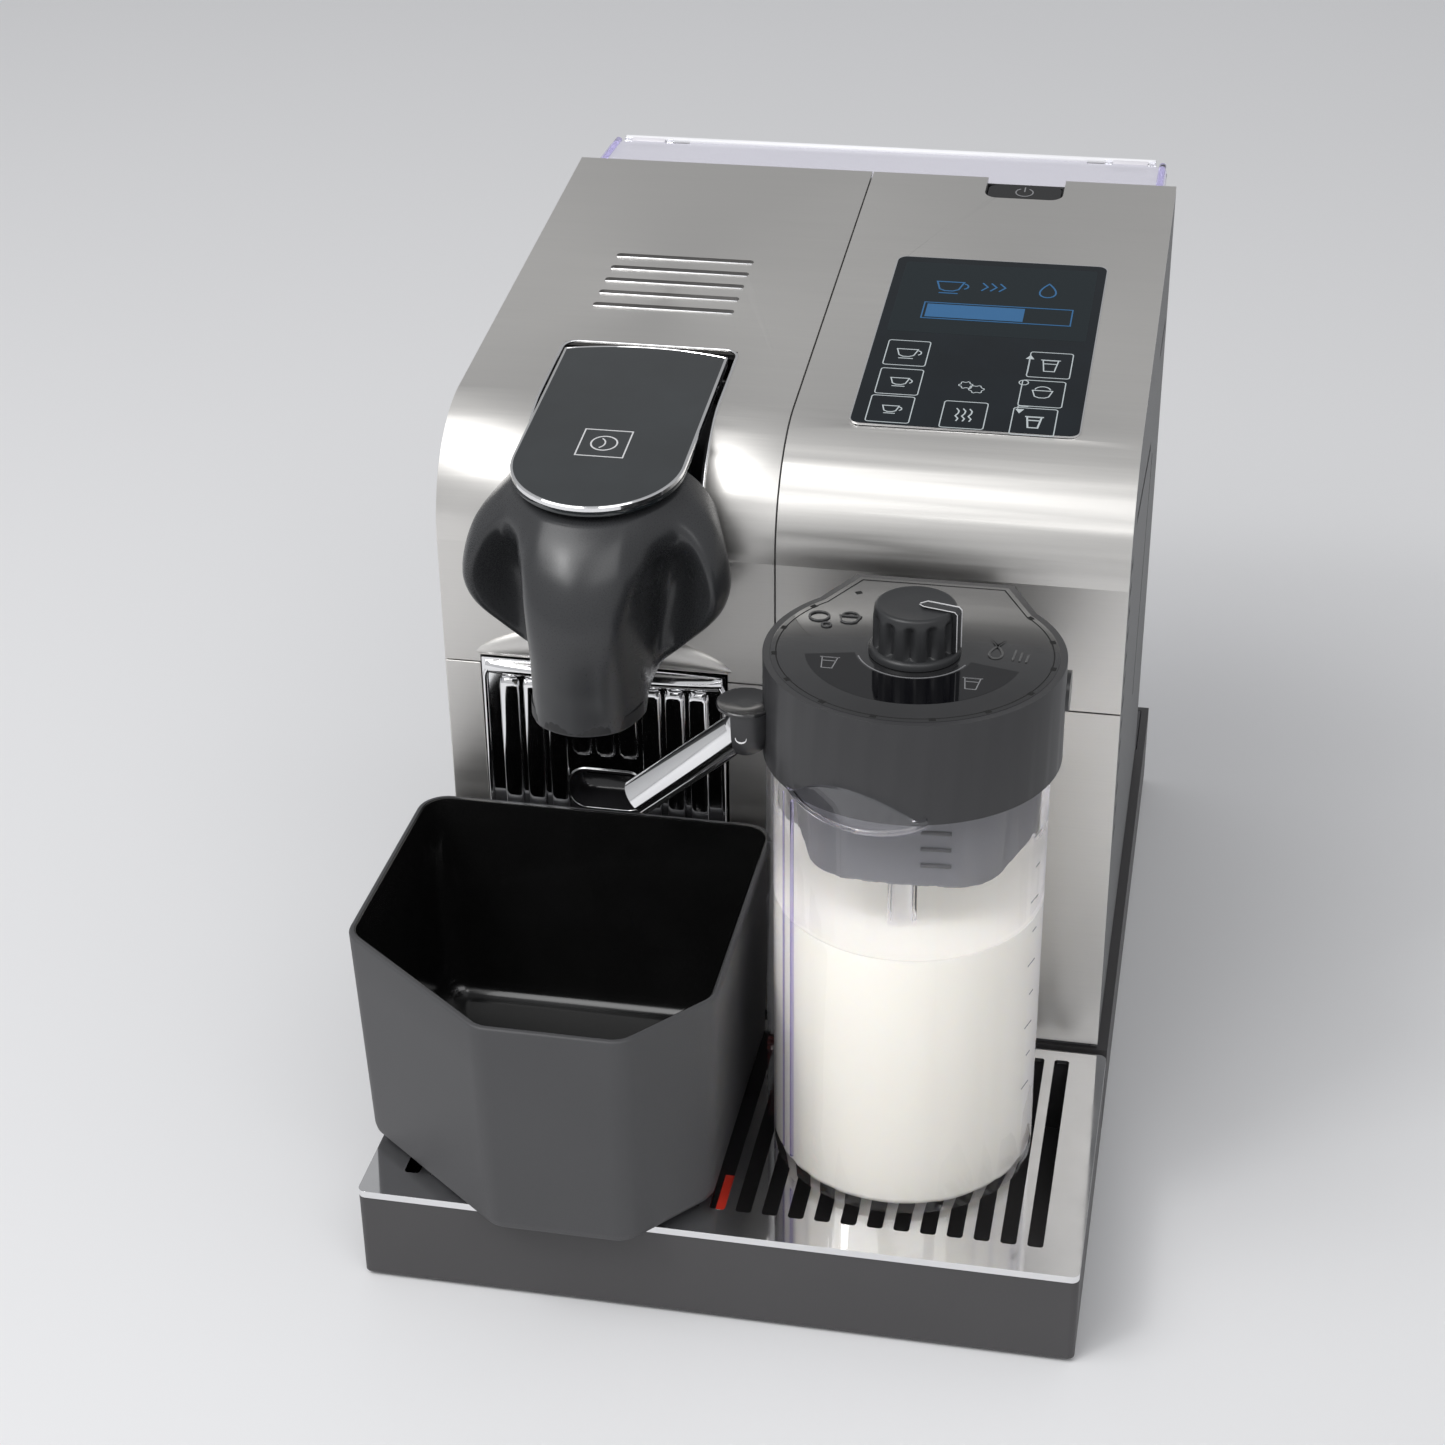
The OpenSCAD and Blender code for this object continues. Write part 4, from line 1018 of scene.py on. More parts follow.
def cup_icon(form, place, x, y, size, low, high, foam=False, width=0.35):
    """A small outlined cup: with foam it has a cap, and without it a handle and a saucer."""
    half = size/2

    def draw(points, closed=False):
        form.stroke([(x + u, y + v) for u, v in points], width, place, low, high, closed)

    draw([(-half, half*0.6), (-half*0.7, -half*0.55), (-half*0.3, -half*0.8), (half*0.3, -half*0.8),
          (half*0.7, -half*0.55), (half, half*0.6)], True)
    if foam:
        draw(arc(0, half*0.6, half*0.8, 15, 165, 8))
    else:
        draw(arc(half*0.95, -half*0.02, half*0.42, -70, 75, 6))
        draw([(-half*0.7, -half*1.15), (half*0.7, -half*1.15)])


def glass_icon(form, place, x, y, size, low, high, width=0.35):
    """A small tall glass with a rim, and a layer in it."""
    half = size/2
    wall = [(-half*0.62, half*0.75), (-half*0.42, -half), (half*0.42, -half), (half*0.62, half*0.75)]
    layer = [(-half*0.56, half*0.2), (half*0.56, half*0.2)]
    rim = [(-half*0.8, half*0.8), (half*0.8, half*0.8)]
    for points, closed in ((wall, True), (layer, False), (rim, False)):
        form.stroke([(x + u, y + v) for u, v in points], width, place, low, high, closed)


def ring_piece(inner, outer, start, end):
    """The corners of a piece of a ring, with its angles in radians."""
    corners = ((inner, start), (outer, start), (outer, end), (inner, end))
    return [(r*math.cos(a), r*math.sin(a)) for r, a in corners]


def lid_skin():
    """The glossy top of the lid."""
    form = Form()
    form.loft([[on_lid(x, y, z) for x, y in lid_outline(inward)]
               for inward, z in ((1.9, -0.2), (1.9, 0.06), (2.05, 0.12))])
    make("lid_top", form, ["dial gloss"], "lid", smooth=30)


def lid_notches():
    """Painted shade for the groove near the lid's edge and the short notches across it: near-black strips
    laid on the lid.
    """
    form = Form()
    form.stroke(lid_outline(3.4), 0.35, on_lid, 0.1, 0.14, closed=True)
    half = 0.85/36
    for k in range(13):
        angle = math.radians(122 + k*23.2)
        form.plate(ring_piece(35.0, 36.4, angle - half, angle + half), on_lid, 0.05, 0.16)
    make("lid_notches", form, ["painted groove shade"], "lid")


def lid_window():
    """The dark window round the front of the knob."""
    form = Form()
    steps = 30
    edges = [math.radians(-167 + 153*k/steps) for k in range(steps + 1)]
    for start, end in zip(edges, edges[1:]):
        form.plate(ring_piece(15.2, 28.0, start, end), on_lid, 0.1, 0.17)
    make("lid_window", form, ["window gloss"], "lid", smooth=20)


def lid_print():
    """The printed scale round the knob, with a glass at each end."""
    form = Form()
    form.stroke(arc(0, 0, 14.6, -160, -22, 24), 0.35, on_lid, 0.1, 0.2)
    for x, y in ((-20.6, -9.6), (16.2, -14.6)):
        glass_icon(form, on_lid, x, y, 6.4, 0.16, 0.2, 0.3)
    make("lid_print", form, ["grey print"], "lid")


def lid_relief():
    """The raised pictograms behind the knob: two rings, a cup, a drop and three strokes."""
    form = Form()
    width = 0.6
    low = -0.2
    high = 0.42
    for x, y, r in ((-27.0, 15.0, 2.6), (-24.4, 10.4, 1.2)):
        form.stroke(circle(x, y, r, 20), width, on_lid, low, high, closed=True)
    cup_icon(form, on_lid, -19.0, 14.6, 5.4, low, high, foam=True, width=width)
    form.stroke(drop_outline(20.5, 2.6, 2.3, 3.4, 1.2), width, on_lid, low, high, closed=True)
    for k in range(3):
        form.stroke([(25.0 + k*1.7, -1.0 - k*0.3), (25.4 + k*1.7, 4.4 - k*1.0)], width, on_lid, low, high)
    make("lid_relief", form, ["dial relief"], "lid", bevel=0.12)


def spout_cup():
    """The cup that the spout's ball turns in, open on the left, and its flat polished cap."""
    centre = at(3.2, -60, LID_Z - 20)
    steps = 28
    half_turn = 112
    turns = [math.radians(-half_turn + 2*half_turn*k/steps) for k in range(steps + 1)]
    outer = [(3.2, -6.9), (4.8, -5.7), (6.3, -3.4), (7.0, -0.6), (7.2, 2.4), (7.3, 5.2), (7.3, 6.3)]
    inner = [(6.2, 6.0), (6.2, 2.4), (6.0, 0.0), (5.5, -2.6), (4.4, -4.4), (3.0, -5.4)]
    form = Form()
    rows = [form.loop([centre + Vector((r*math.cos(a), r*math.sin(a), z))*MM for a in turns])
            for r, z in outer + inner]
    for a, b in zip(rows, rows[1:] + rows[:1]):
        form.bridge(a, b, closed=False)
    form.face([row[0] for row in rows])
    form.face([row[-1] for row in reversed(rows)])
    make("spout_cup", form, ["lid plastic"], "lid", ["spout_socket"], smooth=40)
    cap = Form()
    cap.lathe([(2.0, 6.15), (7.2, 6.1), (7.6, 6.4), (7.6, 7.0), (7.35, 7.25), (6.9, 7.15), (6.5, 6.85),
               (2.0, 6.7)], centre, 48)
    make("spout_cap", cap, ["dial gloss"], "lid", smooth=40)


def thumb_tab():
    """The clear tab that swells from the front left of the jug's wall."""
    form = Form()
    rows = []
    steps = 28
    foot = LID_Z - 28 - 5.5
    for k in range(steps + 1):
        t = k/steps
        azimuth = math.radians(-134 + 57*t)
        swell = math.sin(math.pi*t)**0.75
        low = foot + 3.6*(1 - swell)
        high = max(foot + 4.4 + 10.5*swell*(1 - 0.25*t), low + 4.4)
        section = [(low, 36.0), (low + 2.2, 37.8), (low + 4.2, 39.1), (high, 39.3),
                   (high, 40.5), (low + 3.6, 40.3), (low + 1.2, 38.9), (low - 0.9, 36.4)]
        rows.append([round_jug(r, azimuth, z) for z, r in section])
    form.loft(rows)
    make("jug_thumb_tab", form, ["clear jug"], "jug", smooth=50)


def wall_ribs():
    """Upright ribs in the jug's wall, where its tint gathers."""
    form = Form()
    for turn, radius in ((-141, 0.7), (-149, 0.45), (-184, 0.8)):
        azimuth = math.radians(turn)
        form.tube([round_jug(35.4, azimuth, z) for z in (36, 70, 110, 150)], radius*MM)
    make("jug_wall_ribs", form, ["violet edge"], "jug", smooth=60)


def on_jug(u, v, w):
    """A place on the jug's wall: round it from the marks' right end, up, and out of it."""
    return round_jug(JUG_R + w, math.radians(-14) + u/MARK_R, v)


def jug_marks():
    """The marks of the milk's level, long and short in turn."""
    form = Form()
    lowest = 60
    for k in range(9):
        reach = 2.6 if k % 2 else 4.5
        z = lowest + k*10
        form.stroke([(-reach, z), (0, z)], 0.35, on_jug, 0.0, 0.08)
    make("jug_marks", form, ["grey print"], "jug")


# ---- tank ----

def tank_edges():
    """The bright far rim of the tank and its tinted ends."""
    low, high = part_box("tank_lid")
    radius = 1.2*MM
    rim = Form()
    inward = 4*MM
    rim.tube([Vector((x, high.y - 1.5*MM, high.z - 0.8*MM))
              for x in (low.x + inward, high.x - inward)], radius)
    make("tank_far_rim", rim, ["pale rim"], "tank_flap", smooth=60)
    ends = Form()
    inward = 3*MM
    for x in (low.x + 1.6*MM, high.x - 1.6*MM):
        ends.tube([Vector((x, y, high.z - 1.2*MM)) for y in (low.y + inward, high.y - inward)], radius)
    make("tank_ends", ends, ["violet edge"], "tank_flap", smooth=60)


# ---- steel and display ----

SLOT_HALF = 25.6            # half the width of the lever's slot
SLOT_BACK = 59.2            # its back end, up the slope
SLOT_R = 4.0                # its back corners
SLOT_FOOT = BEND_Z - 29     # how far down the front it reaches
TOP_SLOTS = (-69.0, -27.0)  # left and right ends of the slots behind the lever
TOP_SLOT_FROM = 80.0        # the first of them, back from the front face
TOP_SLOT_PITCH = 7.8
DISPLAY = (16.35, 23.75, 79.15, 122.6)   # the glass on the slope: left, front, right, back


def skin_path(x, v_from, z_to):
    """A line down the steel at x: along the slope, round the bend and down the front."""
    arc_z = BEND_Z + BEND_R*math.tan(PITCH) - BEND_R/math.cos(PITCH)
    tangent = (BEND_R - BEND_R*math.sin(PITCH))/math.cos(PITCH)
    path = [on_top(x, v_from + (tangent - v_from)*k/6) for k in range(6)]
    for k in range(13):
        a = math.radians(90) + PITCH + (math.radians(90) - PITCH)*k/12
        path.append(at(x, BEND_R + BEND_R*math.cos(a), arc_z + BEND_R*math.sin(a)))
    path.append(at(x, 0, z_to))
    return path


def steel_lips(sizes):
    """The polished lips of the lever's slot and of the slots behind it."""
    form = Form()
    left = COFFEE_X - SLOT_HALF
    right = COFFEE_X + SLOT_HALF
    corner = SLOT_BACK - SLOT_R
    path = list(reversed(skin_path(left, SLOT_BACK - 5, SLOT_FOOT)))
    path += [on_top(u, v) for u, v in arc(left + SLOT_R, corner, SLOT_R, 180, 90, 6)]
    path += [on_top(u, v) for u, v in arc(right - SLOT_R, corner, SLOT_R, 90, 0, 6)]
    path += skin_path(right, SLOT_BACK - 5, SLOT_FOOT)
    form.tube(path, sizes.slot_lip)
    first, last = TOP_SLOTS
    for k in range(5):
        along = (TOP_SLOT_FROM + k*TOP_SLOT_PITCH)/math.cos(PITCH)
        form.tube([on_top(first + 0.2, along - 0.1, 0.0), on_top(first + 1.0, along - 0.2, 0.12),
                   on_top(last - 1.0, along - 0.2, 0.06), on_top(last, along - 0.1, 0.0)], 0.24*MM, 8)
    make("steel_lips", form, ["polished steel"], "machine", smooth=50)


def display_bezel():
    """The polished edge round the display's glass."""
    form = Form()
    form.stroke(rectangle(*DISPLAY, 2.8, 6), 0.4, on_top, -0.4, 0.22, closed=True)
    make("display_bezel", form, ["polished steel"], "machine", smooth=30)


def display_panel():
    """The faintly lit field at the back of the display."""
    form = Form()
    form.plate(rectangle(19.2, 76.0, 76.4, 119.0, 0.8, 3), on_top, 0.2, 0.315)
    make("display_panel", form, ["display glow"], "machine")


# The symbols' lowest and highest points above the steel; the blue ones stand a little higher.
INK = (0.28, 0.34)
BLUE = (0.28, 0.37)
# Middles of the framed keys on the slope: three cups, a glass, a foamed cup, a glass and steam.
CUP_KEYS = ((26.9, 63.4), (27.0, 47.1), (26.6, 31.8))
TALL_GLASS_KEY = (67.7, 61.3)
FOAM_KEY = (67.0, 45.2)
GLASS_KEY = (66.2, 29.9)
STEAM_KEY = (47.0, 31.1)


def display_status():
    """The blue symbols: a frame with a bar in it, a cup, three arrows and a drop."""
    form = Form()
    form.stroke(rectangle(28.0, 84.6, 71.2, 94.2), 0.4, on_top, *BLUE, closed=True)
    form.plate(rectangle(28.9, 85.5, 57.4, 93.3), on_top, *BLUE)
    cup_icon(form, on_top, 34.0, 105.0, 8.0, *BLUE, width=0.5)
    for x in (43.5, 46.1, 48.7):
        form.stroke([(x, 103.0), (x + 1.7, 105.4), (x, 107.8)], 0.5, on_top, *BLUE)
    form.stroke(drop_outline(63.0, 105.2, 3.1, 4.2, 1.0), 0.5, on_top, *BLUE, closed=True)
    make("display_status", form, ["display blue"], "machine")


def gear_outline(cx, cy, radius):
    """A small gear with six teeth."""
    points = []
    for k in range(24):
        r = radius + (0.45 if k % 4 < 2 else 0.0)
        points.append((cx + r*math.cos(2*math.pi*k/24), cy + r*math.sin(2*math.pi*k/24)))
    return points


def key_symbols(form):
    """The frames of the keys, and the drink that each of them makes."""
    for x, v in (*CUP_KEYS, TALL_GLASS_KEY, FOAM_KEY, GLASS_KEY, STEAM_KEY):
        form.stroke(rectangle(x - 6, v - 7.1, x + 6, v + 7.1, 0.8, 3), 0.3, on_top, *INK, closed=True)
    for (x, v), size in zip(CUP_KEYS, (6.0, 5.2, 4.6)):
        cup_icon(form, on_top, x, v + 0.4, size, *INK)
    glass_icon(form, on_top, *TALL_GLASS_KEY, 7.0, *INK)
    cup_icon(form, on_top, *FOAM_KEY, 5.6, *INK, foam=True)
    glass_icon(form, on_top, *GLASS_KEY, 6.4, *INK, width=0.5)
    x, v = STEAM_KEY
    for middle in (x - 1.8, x, x + 1.8):
        wave = [(middle + 0.5*math.sin(t*2.2), v - 3.4 + t*1.36) for t in range(6)]
        form.stroke(wave, 0.4, on_top, *INK)


def setting_symbols(form):
    """Two gears, an arrow up, an arrow down and a ring, with the lines between them."""
    for gear in ((45.6, 47.4, 1.5), (48.8, 45.4, 1.7)):
        form.stroke(gear_outline(*gear), 0.25, on_top, *INK, closed=True)
    form.plate([(60.6, 64.2), (63.0, 64.2), (61.8, 66.5)], on_top, *INK)
    form.plate([(61.8, 33.9), (63.0, 36.2), (60.6, 36.2)], on_top, *INK)
    form.stroke([(61.8, 64.0), (61.8, 56.5)], 0.3, on_top, *INK)
    form.stroke([(61.2, 36.4), (61.2, 37.8), (64.0, 37.8)], 0.3, on_top, *INK)
    form.stroke(circle(61.4, 50.8, 1.3, 16), 0.3, on_top, *INK, closed=True)


def display_symbols():
    """The pale symbols on the keys and between them."""
    form = Form()
    key_symbols(form)
    setting_symbols(form)
    make("display_symbols", form, ["display ink"], "machine")


def power_symbol():
    """A broken ring with an upright stroke, printed on the power key."""
    form = Form()
    x, v = (49.2, 171.6)
    depth = (-0.85, -0.74)    # the key lies below the steel round it
    form.stroke(arc(x, v, 2.7, 120, 420, 24), 0.4, on_top, *depth)
    form.stroke([(x, v + 0.4), (x, v + 3.6)], 0.4, on_top, *depth)
    make("power_symbol", form, ["grey print"], "power_key")


def lever_emblem():
    """A plain ring and an arc in a frame, on the lever's plate."""
    form = Form()
    x, v = (-47.0, 1.0)
    height = (1.9, 2.04)
    form.stroke(rectangle(x - 6.6, v - 6.8, x + 6.6, v + 6.8), 0.4, on_top, *height, closed=True)
    form.stroke(circle(x, v, 3.6, 28), 0.45, on_top, *height, closed=True)
    form.stroke(arc(x - 2.6, v, 2.9, -55, 55, 12), 0.4, on_top, *height)
    make("lever_emblem", form, ["pale print"], "lever")


LEVER_FRONT = -31.6    # round front end of the lever, along the slope
LEVER_BACK = 51.8      # its back corners
LEVER_BACK_R = 90.0    # its back edge is a shallow arc
# Sections of the lever's edge: how far inwards, and how far above the steel.
BRIGHT_EDGE = [(0.75, 2.0), (0.62, 2.14), (0.3, 2.12), (0.0, 1.8), (0.0, 0.7)]
DARK_EDGE = [(0.0, 0.7), (0.12, 0.5), (0.12, -0.8), (0.6, -1.3), (2.2, -1.3), (2.2, 2.0), (0.75, 2.0)]


def lever_outline(sizes, inward):
    """The lever's plan: a half circle in front, and a shallow arc behind."""
    half = sizes.lever_rim/MM/2
    r = half - inward
    turns = [math.radians(180 + 180*k/40) for k in range(41)]
    points = [(r*math.cos(a), LEVER_FRONT + half + r*math.sin(a)) for a in turns]
    start = math.degrees(math.atan2(math.sqrt(LEVER_BACK_R**2 - r*r), r))
    middle = LEVER_BACK + 3 - LEVER_BACK_R - inward
    return points + arc(0, middle, LEVER_BACK_R, start, 180 - start, 16)


def lever_edge(sizes):
    """The lever's edge: polished metal above and dark below."""
    form = Form()
    for skin, section in enumerate((BRIGHT_EDGE, DARK_EDGE)):
        rows = [form.loop([on_top(COFFEE_X + u, v, w) for u, v in lever_outline(sizes, inward)])
                for inward, w in section]
        for a, b in zip(rows, rows[1:]):
            form.bridge(a, b, skin)
    make("lever_edge", form, ["bright chrome", "lever gloss"], "lever",
         ["lever_rim"], smooth=40)


# ---- studio ----

FLOOR_HALF = 6.0                     # metres, like the lamps' places and sizes
AIM = Vector((0.0, -0.02, 0.1))      # what the lamps point at
SKY = (0.97, 0.98, 1.0, 1.0)
# The surroundings' strength, from in front of the machine to behind it.
SKY_ALONG = (-0.8, 0.9)
SKY_STRENGTH = (0.62, 0.40)


def floor(looks):
    """A pale floor under the machine."""
    form = Form()
    corners = rectangle(-FLOOR_HALF, -FLOOR_HALF, FLOOR_HALF, FLOOR_HALF)
    form.loft([[Vector((x, y, z)) for x, y in corners] for z in (-0.01, 0.0)])
    finish = Finish("studio floor")
    cloud = finish.noise(1.2, 2.0)
    finish.set(base_color=finish.colour(cloud, shade(looks.floor, 0.965), looks.floor),
               roughness=0.55 + cloud*0.05)
    slab = place_mesh("studio_floor", form)
    slab.data.materials.append(finish.material)


def softbox(name, place, size, power):
    """A rectangular lamp that points at the machine."""
    light = bpy.data.lights.new(name, "AREA")
    light.shape = "RECTANGLE"
    light.size, light.size_y = size
    light.energy = power
    obj = bpy.data.objects.new(name, light)
    bpy.context.scene.collection.objects.link(obj)
    obj.location = place
    obj.rotation_euler = (AIM - Vector(place)).to_track_quat("-Z", "Y").to_euler()


def surroundings():
    """A pale world, brighter in front of the machine than behind it."""
    world = bpy.data.worlds.new("studio")
    bpy.context.scene.world = world
    world.use_nodes = True
    tree = world.node_tree
    tree.nodes.clear()
    output = tree.nodes.new("ShaderNodeOutputWorld")
    background = tree.nodes.new("ShaderNodeBackground")
    spot = tree.nodes.new("ShaderNodeTexCoord")
    split = tree.nodes.new("ShaderNodeSeparateXYZ")
    ramp = tree.nodes.new("ShaderNodeMapRange")
    tree.links.new(spot.outputs["Generated"], split.inputs[0])
    tree.links.new(split.outputs["Y"], ramp.inputs["Value"])
    ramp.inputs["From Min"].default_value, ramp.inputs["From Max"].default_value = SKY_ALONG
    ramp.inputs["To Min"].default_value, ramp.inputs["To Max"].default_value = SKY_STRENGTH
    background.inputs["Color"].default_value = SKY
    tree.links.new(ramp.outputs["Result"], background.inputs["Strength"])
    tree.links.new(background.outputs["Background"], output.inputs["Surface"])


def studio(looks):
    """The floor, the lamps and the surroundings."""
    bpy.context.scene.view_settings.view_transform = "Standard"
    floor(looks)
    softbox("key", (-0.85, -0.95, 1.75), (1.5, 1.2), looks.key_power)
    softbox("fill", (0.75, -1.35, 1.75), (1.2, 0.9), looks.fill_power)
    softbox("glint", (-0.8, -1.0, 1.5), (0.3, 0.3), looks.glint_power)
    surroundings()


CAMERA_PLACE = (117.5166, -646.3293, 501.4678)
CAMERA_LENS = 66.538
# Turned to the left, down and about its own line of sight, in radians.
CAMERA_TURN = (0.2025584, 0.5129400, -0.0137679)


def camera():
    """The camera, which looks down on the machine from the front right."""
    data = bpy.data.cameras.new("camera")
    data.sensor_width = 36.0
    data.lens = CAMERA_LENS
    data.clip_end = 30.0
    obj = bpy.data.objects.new("camera", data)
    bpy.context.scene.collection.objects.link(obj)
    yaw, pitch, roll = CAMERA_TURN
    forward = Vector((-math.sin(yaw)*math.cos(pitch), math.cos(yaw)*math.cos(pitch), -math.sin(pitch)))
    right = Vector((math.cos(yaw), math.sin(yaw), 0.0))
    up = right.cross(forward)
    side = right*math.cos(roll) + up*math.sin(roll)
    head = up*math.cos(roll) - right*math.sin(roll)
    turn = Matrix((side, head, -forward)).transposed().to_4x4()
    obj.matrix_world = Matrix.Translation(at(*CAMERA_PLACE)) @ turn
    bpy.context.scene.camera = obj


# ---- what a user may change ----

def tint(name, description, default):
    """A colour property."""
    return bpy.props.FloatVectorProperty(name=name, description=description, subtype="COLOR",
                                         default=default, min=0, max=1)


def length(name, description, default):
    """A length property, with its default in millimetres."""
    return bpy.props.FloatProperty(name=name, description=description, subtype="DISTANCE",
                                   unit="LENGTH", default=default*MM, min=0, precision=5)


def power(name, description, default):
    """A lamp's power property, in watts."""
    return bpy.props.FloatProperty(name=name, description=description, unit="POWER", default=default, min=0)


class MachineLooks(bpy.types.PropertyGroup):
    """Colours and lamps."""

    steel: tint("Steel", "Brushed steel panels", (0.73, 0.715, 0.69))
    chrome: tint("Chrome", "Polished metal", (0.84, 0.84, 0.85))
    base: tint("Base", "Base and drip tray", (0.055, 0.053, 0.055))
    side: tint("Side panels", "Moulded sides and back", (0.115, 0.117, 0.12))
    head: tint("Head", "Coffee head", (0.03, 0.031, 0.033))
    lid: tint("Lid", "Jug lid", (0.03, 0.03, 0.032))
    bin: tint("Loose bin", "Loose bin", (0.055, 0.055, 0.058))
    milk: tint("Milk", "Milk", (0.90, 0.87, 0.79))
    floor: tint("Floor", "Studio floor", (0.82, 0.82, 0.83))
    key_power: power("Key lamp", "Large lamp at the front left", 19.0)
    fill_power: power("Fill lamp", "Lamp at the front right", 7.0)
    glint_power: power("Glint lamp", "Small lamp for the round highlight on the head", 4.0)


class MachineSizes(bpy.types.PropertyGroup):
    """Sizes of the pieces that are made here."""

    rib_pitch: length("Rib pitch", "From one rib of the front to the next", 6.9)
    rib_width: length("Rib width", "Width of one rib", 5.7)
    rib_relief: length("Rib relief", "How far a rib stands out", 1.5)
    bin_wall: length("Bin wall", "Thickness of the loose bin's wall", 2.0)
    bin_draft: length("Bin draft", "How far the loose bin narrows to its foot", 2.2)
    milk_level: length("Milk level", "Height of the milk above the table", 112.0)
    knob_flutes: bpy.props.IntProperty(name="Knob flutes", description="Grooves round the froth knob",
                                       default=12, min=3)
    lever_rim: length("Lever rim width", "Width over the lever's polished edge", 47.6)
    slot_lip: length("Slot lip", "Radius of the lip round the lever's slot", 0.45)


# ---- operators ----

class MachineStep(bpy.types.Operator):
    """Shared by the operators that make the machine's pieces"""

    bl_options = {"REGISTER", "UNDO"}

    def looks(self, context):
        return context.scene.machine_looks

    def sizes(self, context):
        return context.scene.machine_sizes


class MakeFinishes(MachineStep):
    """Make the metals, plastics and liquids"""

    bl_idname = "coffee.finishes"
    bl_label = "Finishes"

    def execute(self, context):
        looks = self.looks(context)
        make_metals(looks)
        make_plastics(looks)
        make_rubbers_and_alloys()
        make_prints()
        make_clear_plastics_and_milk(looks)
        return {"FINISHED"}


class DressNodes(MachineStep):
    """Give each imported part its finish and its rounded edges"""

    bl_idname = "coffee.dress"
    bl_label = "Packed Parts"

    def execute(self, context):
        dress_nodes()
        return {"FINISHED"}


class MakeCoffeeHead(MachineStep):
    """Make the moulded shield round the coffee outlet"""

    bl_idname = "coffee.head"
    bl_label = "Coffee Head"

    def execute(self, context):
        coffee_head()
        return {"FINISHED"}


class MakeRibbedFront(MachineStep):
    """Make the ribbed front of the capsule bin, with its finger hole and frame"""

    bl_idname = "coffee.ribbed_front"
    bl_label = "Ribbed Front"

    def execute(self, context):
        ribbed_panel(self.sizes(context))
        grip_rim()
        panel_frame()
        brow()
        return {"FINISHED"}


class MakeLooseBin(MachineStep):
    """Make the loose bin on the grille"""

    bl_idname = "coffee.loose_bin"
    bl_label = "Loose Bin"

    def execute(self, context):
        loose_bin(self.sizes(context))
        return {"FINISHED"}


class MakeMilk(MachineStep):
    """Fill the jug with milk"""

    bl_idname = "coffee.milk"
    bl_label = "Milk"

    def execute(self, context):
        jug_milk(self.sizes(context))
        return {"FINISHED"}


class MakeJugPieces(MachineStep):
    """Make the jug's thumb tab, wall ribs and level marks"""

    bl_idname = "coffee.jug_pieces"
    bl_label = "Jug Pieces"

    def execute(self, context):
        thumb_tab()
        wall_ribs()
        jug_marks()
        return {"FINISHED"}


class MakeInsert(MachineStep):
    """Make the tapered chamber under the jug's lid"""

    bl_idname = "coffee.insert"
    bl_label = "Lid Chamber"

    def execute(self, context):
        jug_insert()
        return {"FINISHED"}


class MakeLidTop(MachineStep):
    """Make the glossy top of the lid, its notches, window and pictograms"""

    bl_idname = "coffee.lid_top"
    bl_label = "Lid Top"

    def execute(self, context):
        lid_skin()
        lid_notches()
        lid_window()
        lid_print()
        lid_relief()
        return {"FINISHED"}


class MakeKnob(MachineStep):
    """Make the fluted froth knob and its pointer"""

    bl_idname = "coffee.knob"
    bl_label = "Froth Knob"

    def execute(self, context):
        knob_grip(self.sizes(context))
        knob_pointer()
        return {"FINISHED"}


class MakeSpoutCup(MachineStep):
    """Make the cup and cap that the milk spout turns in"""

    bl_idname = "coffee.spout_cup"
    bl_label = "Spout Cup"

    def execute(self, context):
        spout_cup()
        return {"FINISHED"}


class MakeTankEdges(MachineStep):
    """Make the tank's bright far rim and tinted ends"""

    bl_idname = "coffee.tank_edges"
    bl_label = "Tank Edges"

    def execute(self, context):
        tank_edges()
        return {"FINISHED"}


class MakeSteelLips(MachineStep):
    """Make the polished lips of the slots and the display's bezel"""

    bl_idname = "coffee.steel_lips"
    bl_label = "Steel Lips"

    def execute(self, context):
        steel_lips(self.sizes(context))
        display_bezel()
        return {"FINISHED"}


class MakeDisplay(MachineStep):
    """Make the lit symbols on the display"""

    bl_idname = "coffee.display"
    bl_label = "Display Symbols"

    def execute(self, context):
        display_panel()
        display_status()
        display_symbols()
        return {"FINISHED"}


class MakeMarks(MachineStep):
    """Make the marks on the power key and the lever"""

    bl_idname = "coffee.marks"
    bl_label = "Marks"

    def execute(self, context):
        power_symbol()
        lever_emblem()
        return {"FINISHED"}


class MakeLeverRim(MachineStep):
    """Make the lever's polished edge"""

    bl_idname = "coffee.lever_rim"
    bl_label = "Lever Rim"

    def execute(self, context):
        lever_edge(self.sizes(context))
        return {"FINISHED"}


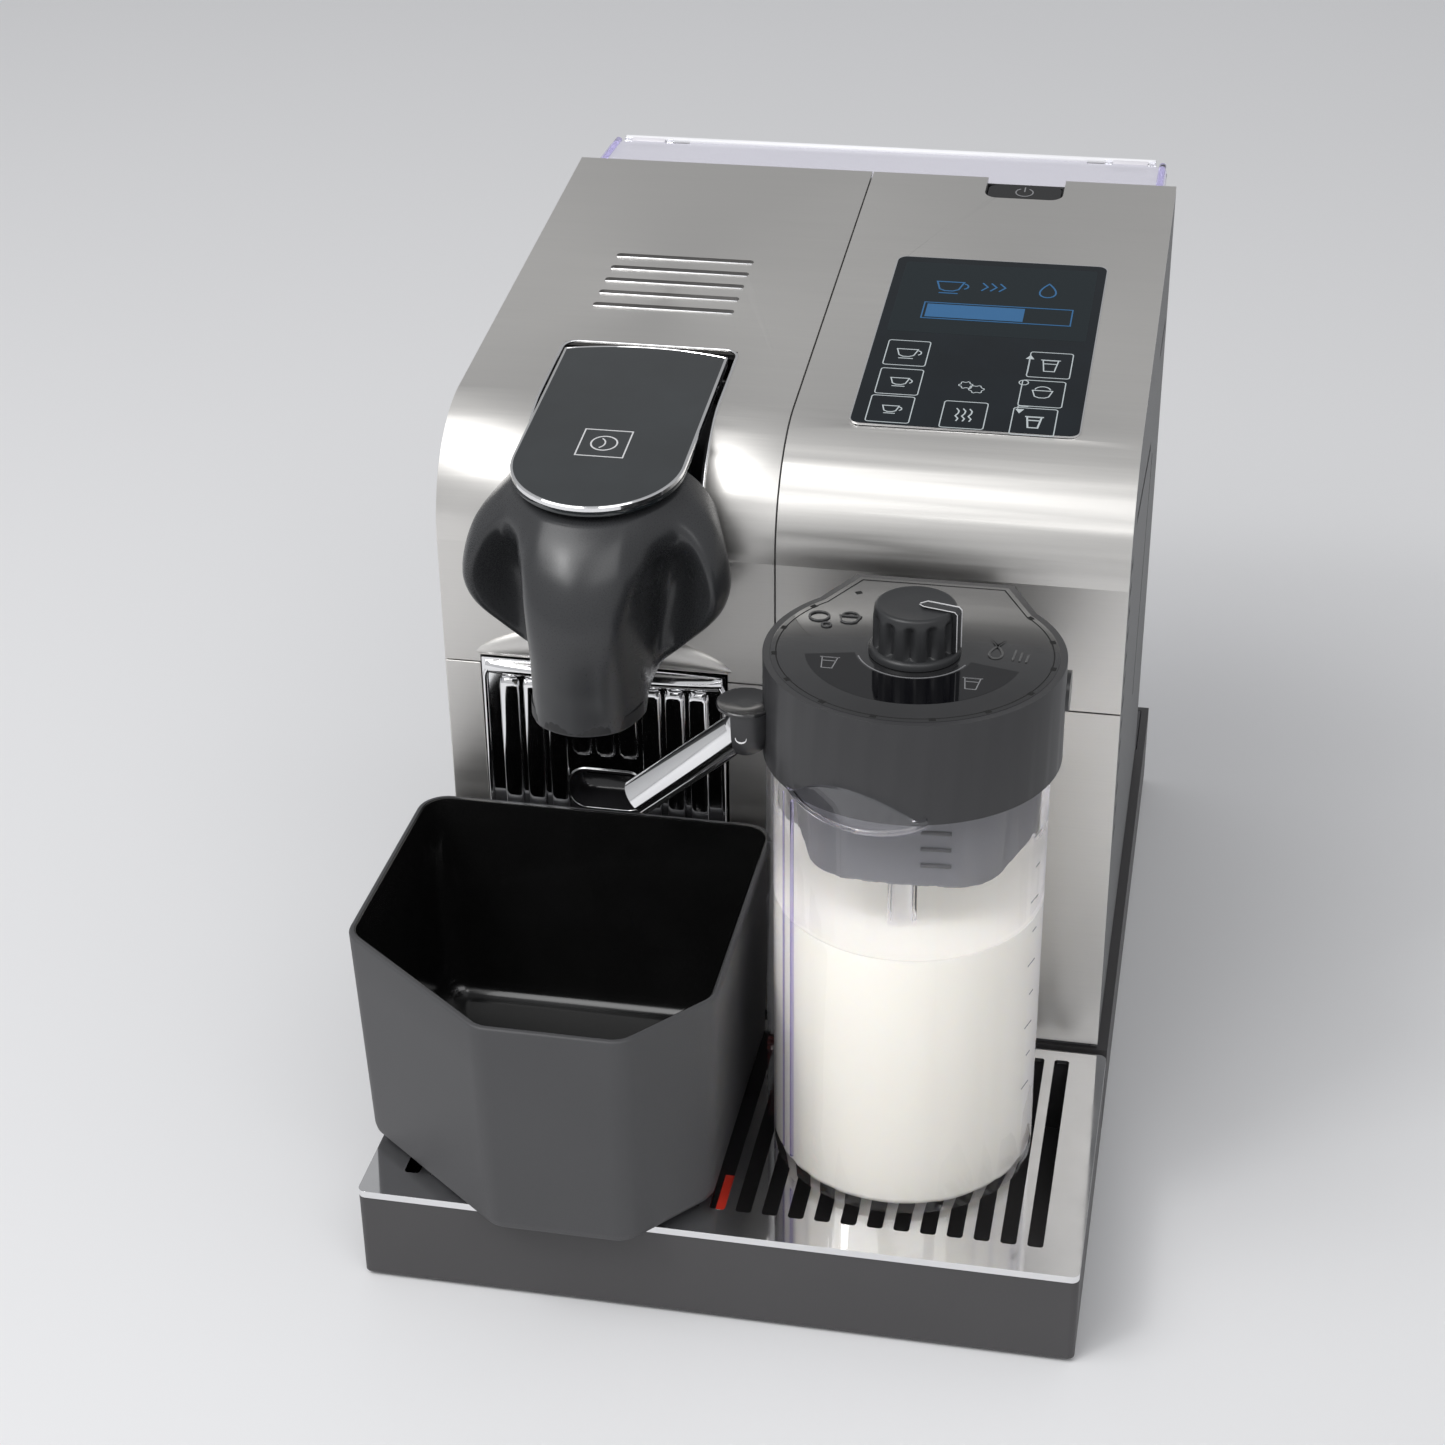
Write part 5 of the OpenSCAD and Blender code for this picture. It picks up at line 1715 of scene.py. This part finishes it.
class MakeStage(MachineStep):
    """Make the floor, the lamps, the surroundings and the camera"""

    bl_idname = "coffee.stage"
    bl_label = "Stage"

    def execute(self, context):
        studio(self.looks(context))
        camera()
        return {"FINISHED"}


STEPS = (MakeFinishes, DressNodes, MakeCoffeeHead, MakeRibbedFront, MakeLooseBin, MakeMilk, MakeJugPieces,
         MakeInsert, MakeLidTop, MakeKnob, MakeSpoutCup, MakeTankEdges, MakeSteelLips, MakeDisplay,
         MakeMarks, MakeLeverRim, MakeStage)


class MachinePanel(bpy.types.Panel):
    """Lists the colours, the sizes and the operators"""

    bl_idname = "VIEW3D_PT_coffee_machine"
    bl_label = "Coffee Machine"
    bl_space_type = "VIEW_3D"
    bl_region_type = "UI"
    bl_category = "Coffee Machine"

    def draw(self, context):
        for group in (context.scene.machine_looks, context.scene.machine_sizes):
            column = self.layout.column()
            for name in group.__annotations__:
                column.prop(group, name)
        for step in STEPS:
            self.layout.operator(step.bl_idname)


CLASSES = (MachineLooks, MachineSizes, *STEPS, MachinePanel)


def register():
    for made in CLASSES:
        bpy.utils.register_class(made)
    bpy.types.Scene.machine_looks = bpy.props.PointerProperty(type=MachineLooks)
    bpy.types.Scene.machine_sizes = bpy.props.PointerProperty(type=MachineSizes)


def unregister():
    del bpy.types.Scene.machine_sizes
    del bpy.types.Scene.machine_looks
    for made in reversed(CLASSES):
        bpy.utils.unregister_class(made)


def main():
    register()
    bpy.ops.coffee.finishes()
    bpy.ops.coffee.dress()
    bpy.ops.coffee.head()
    bpy.ops.coffee.ribbed_front()
    bpy.ops.coffee.loose_bin()
    bpy.ops.coffee.milk()
    bpy.ops.coffee.jug_pieces()
    bpy.ops.coffee.insert()
    bpy.ops.coffee.lid_top()
    bpy.ops.coffee.knob()
    bpy.ops.coffee.spout_cup()
    bpy.ops.coffee.tank_edges()
    bpy.ops.coffee.steel_lips()
    bpy.ops.coffee.display()
    bpy.ops.coffee.marks()
    bpy.ops.coffee.lever_rim()
    bpy.ops.coffee.stage()


if __name__ == "__main__":
    main()
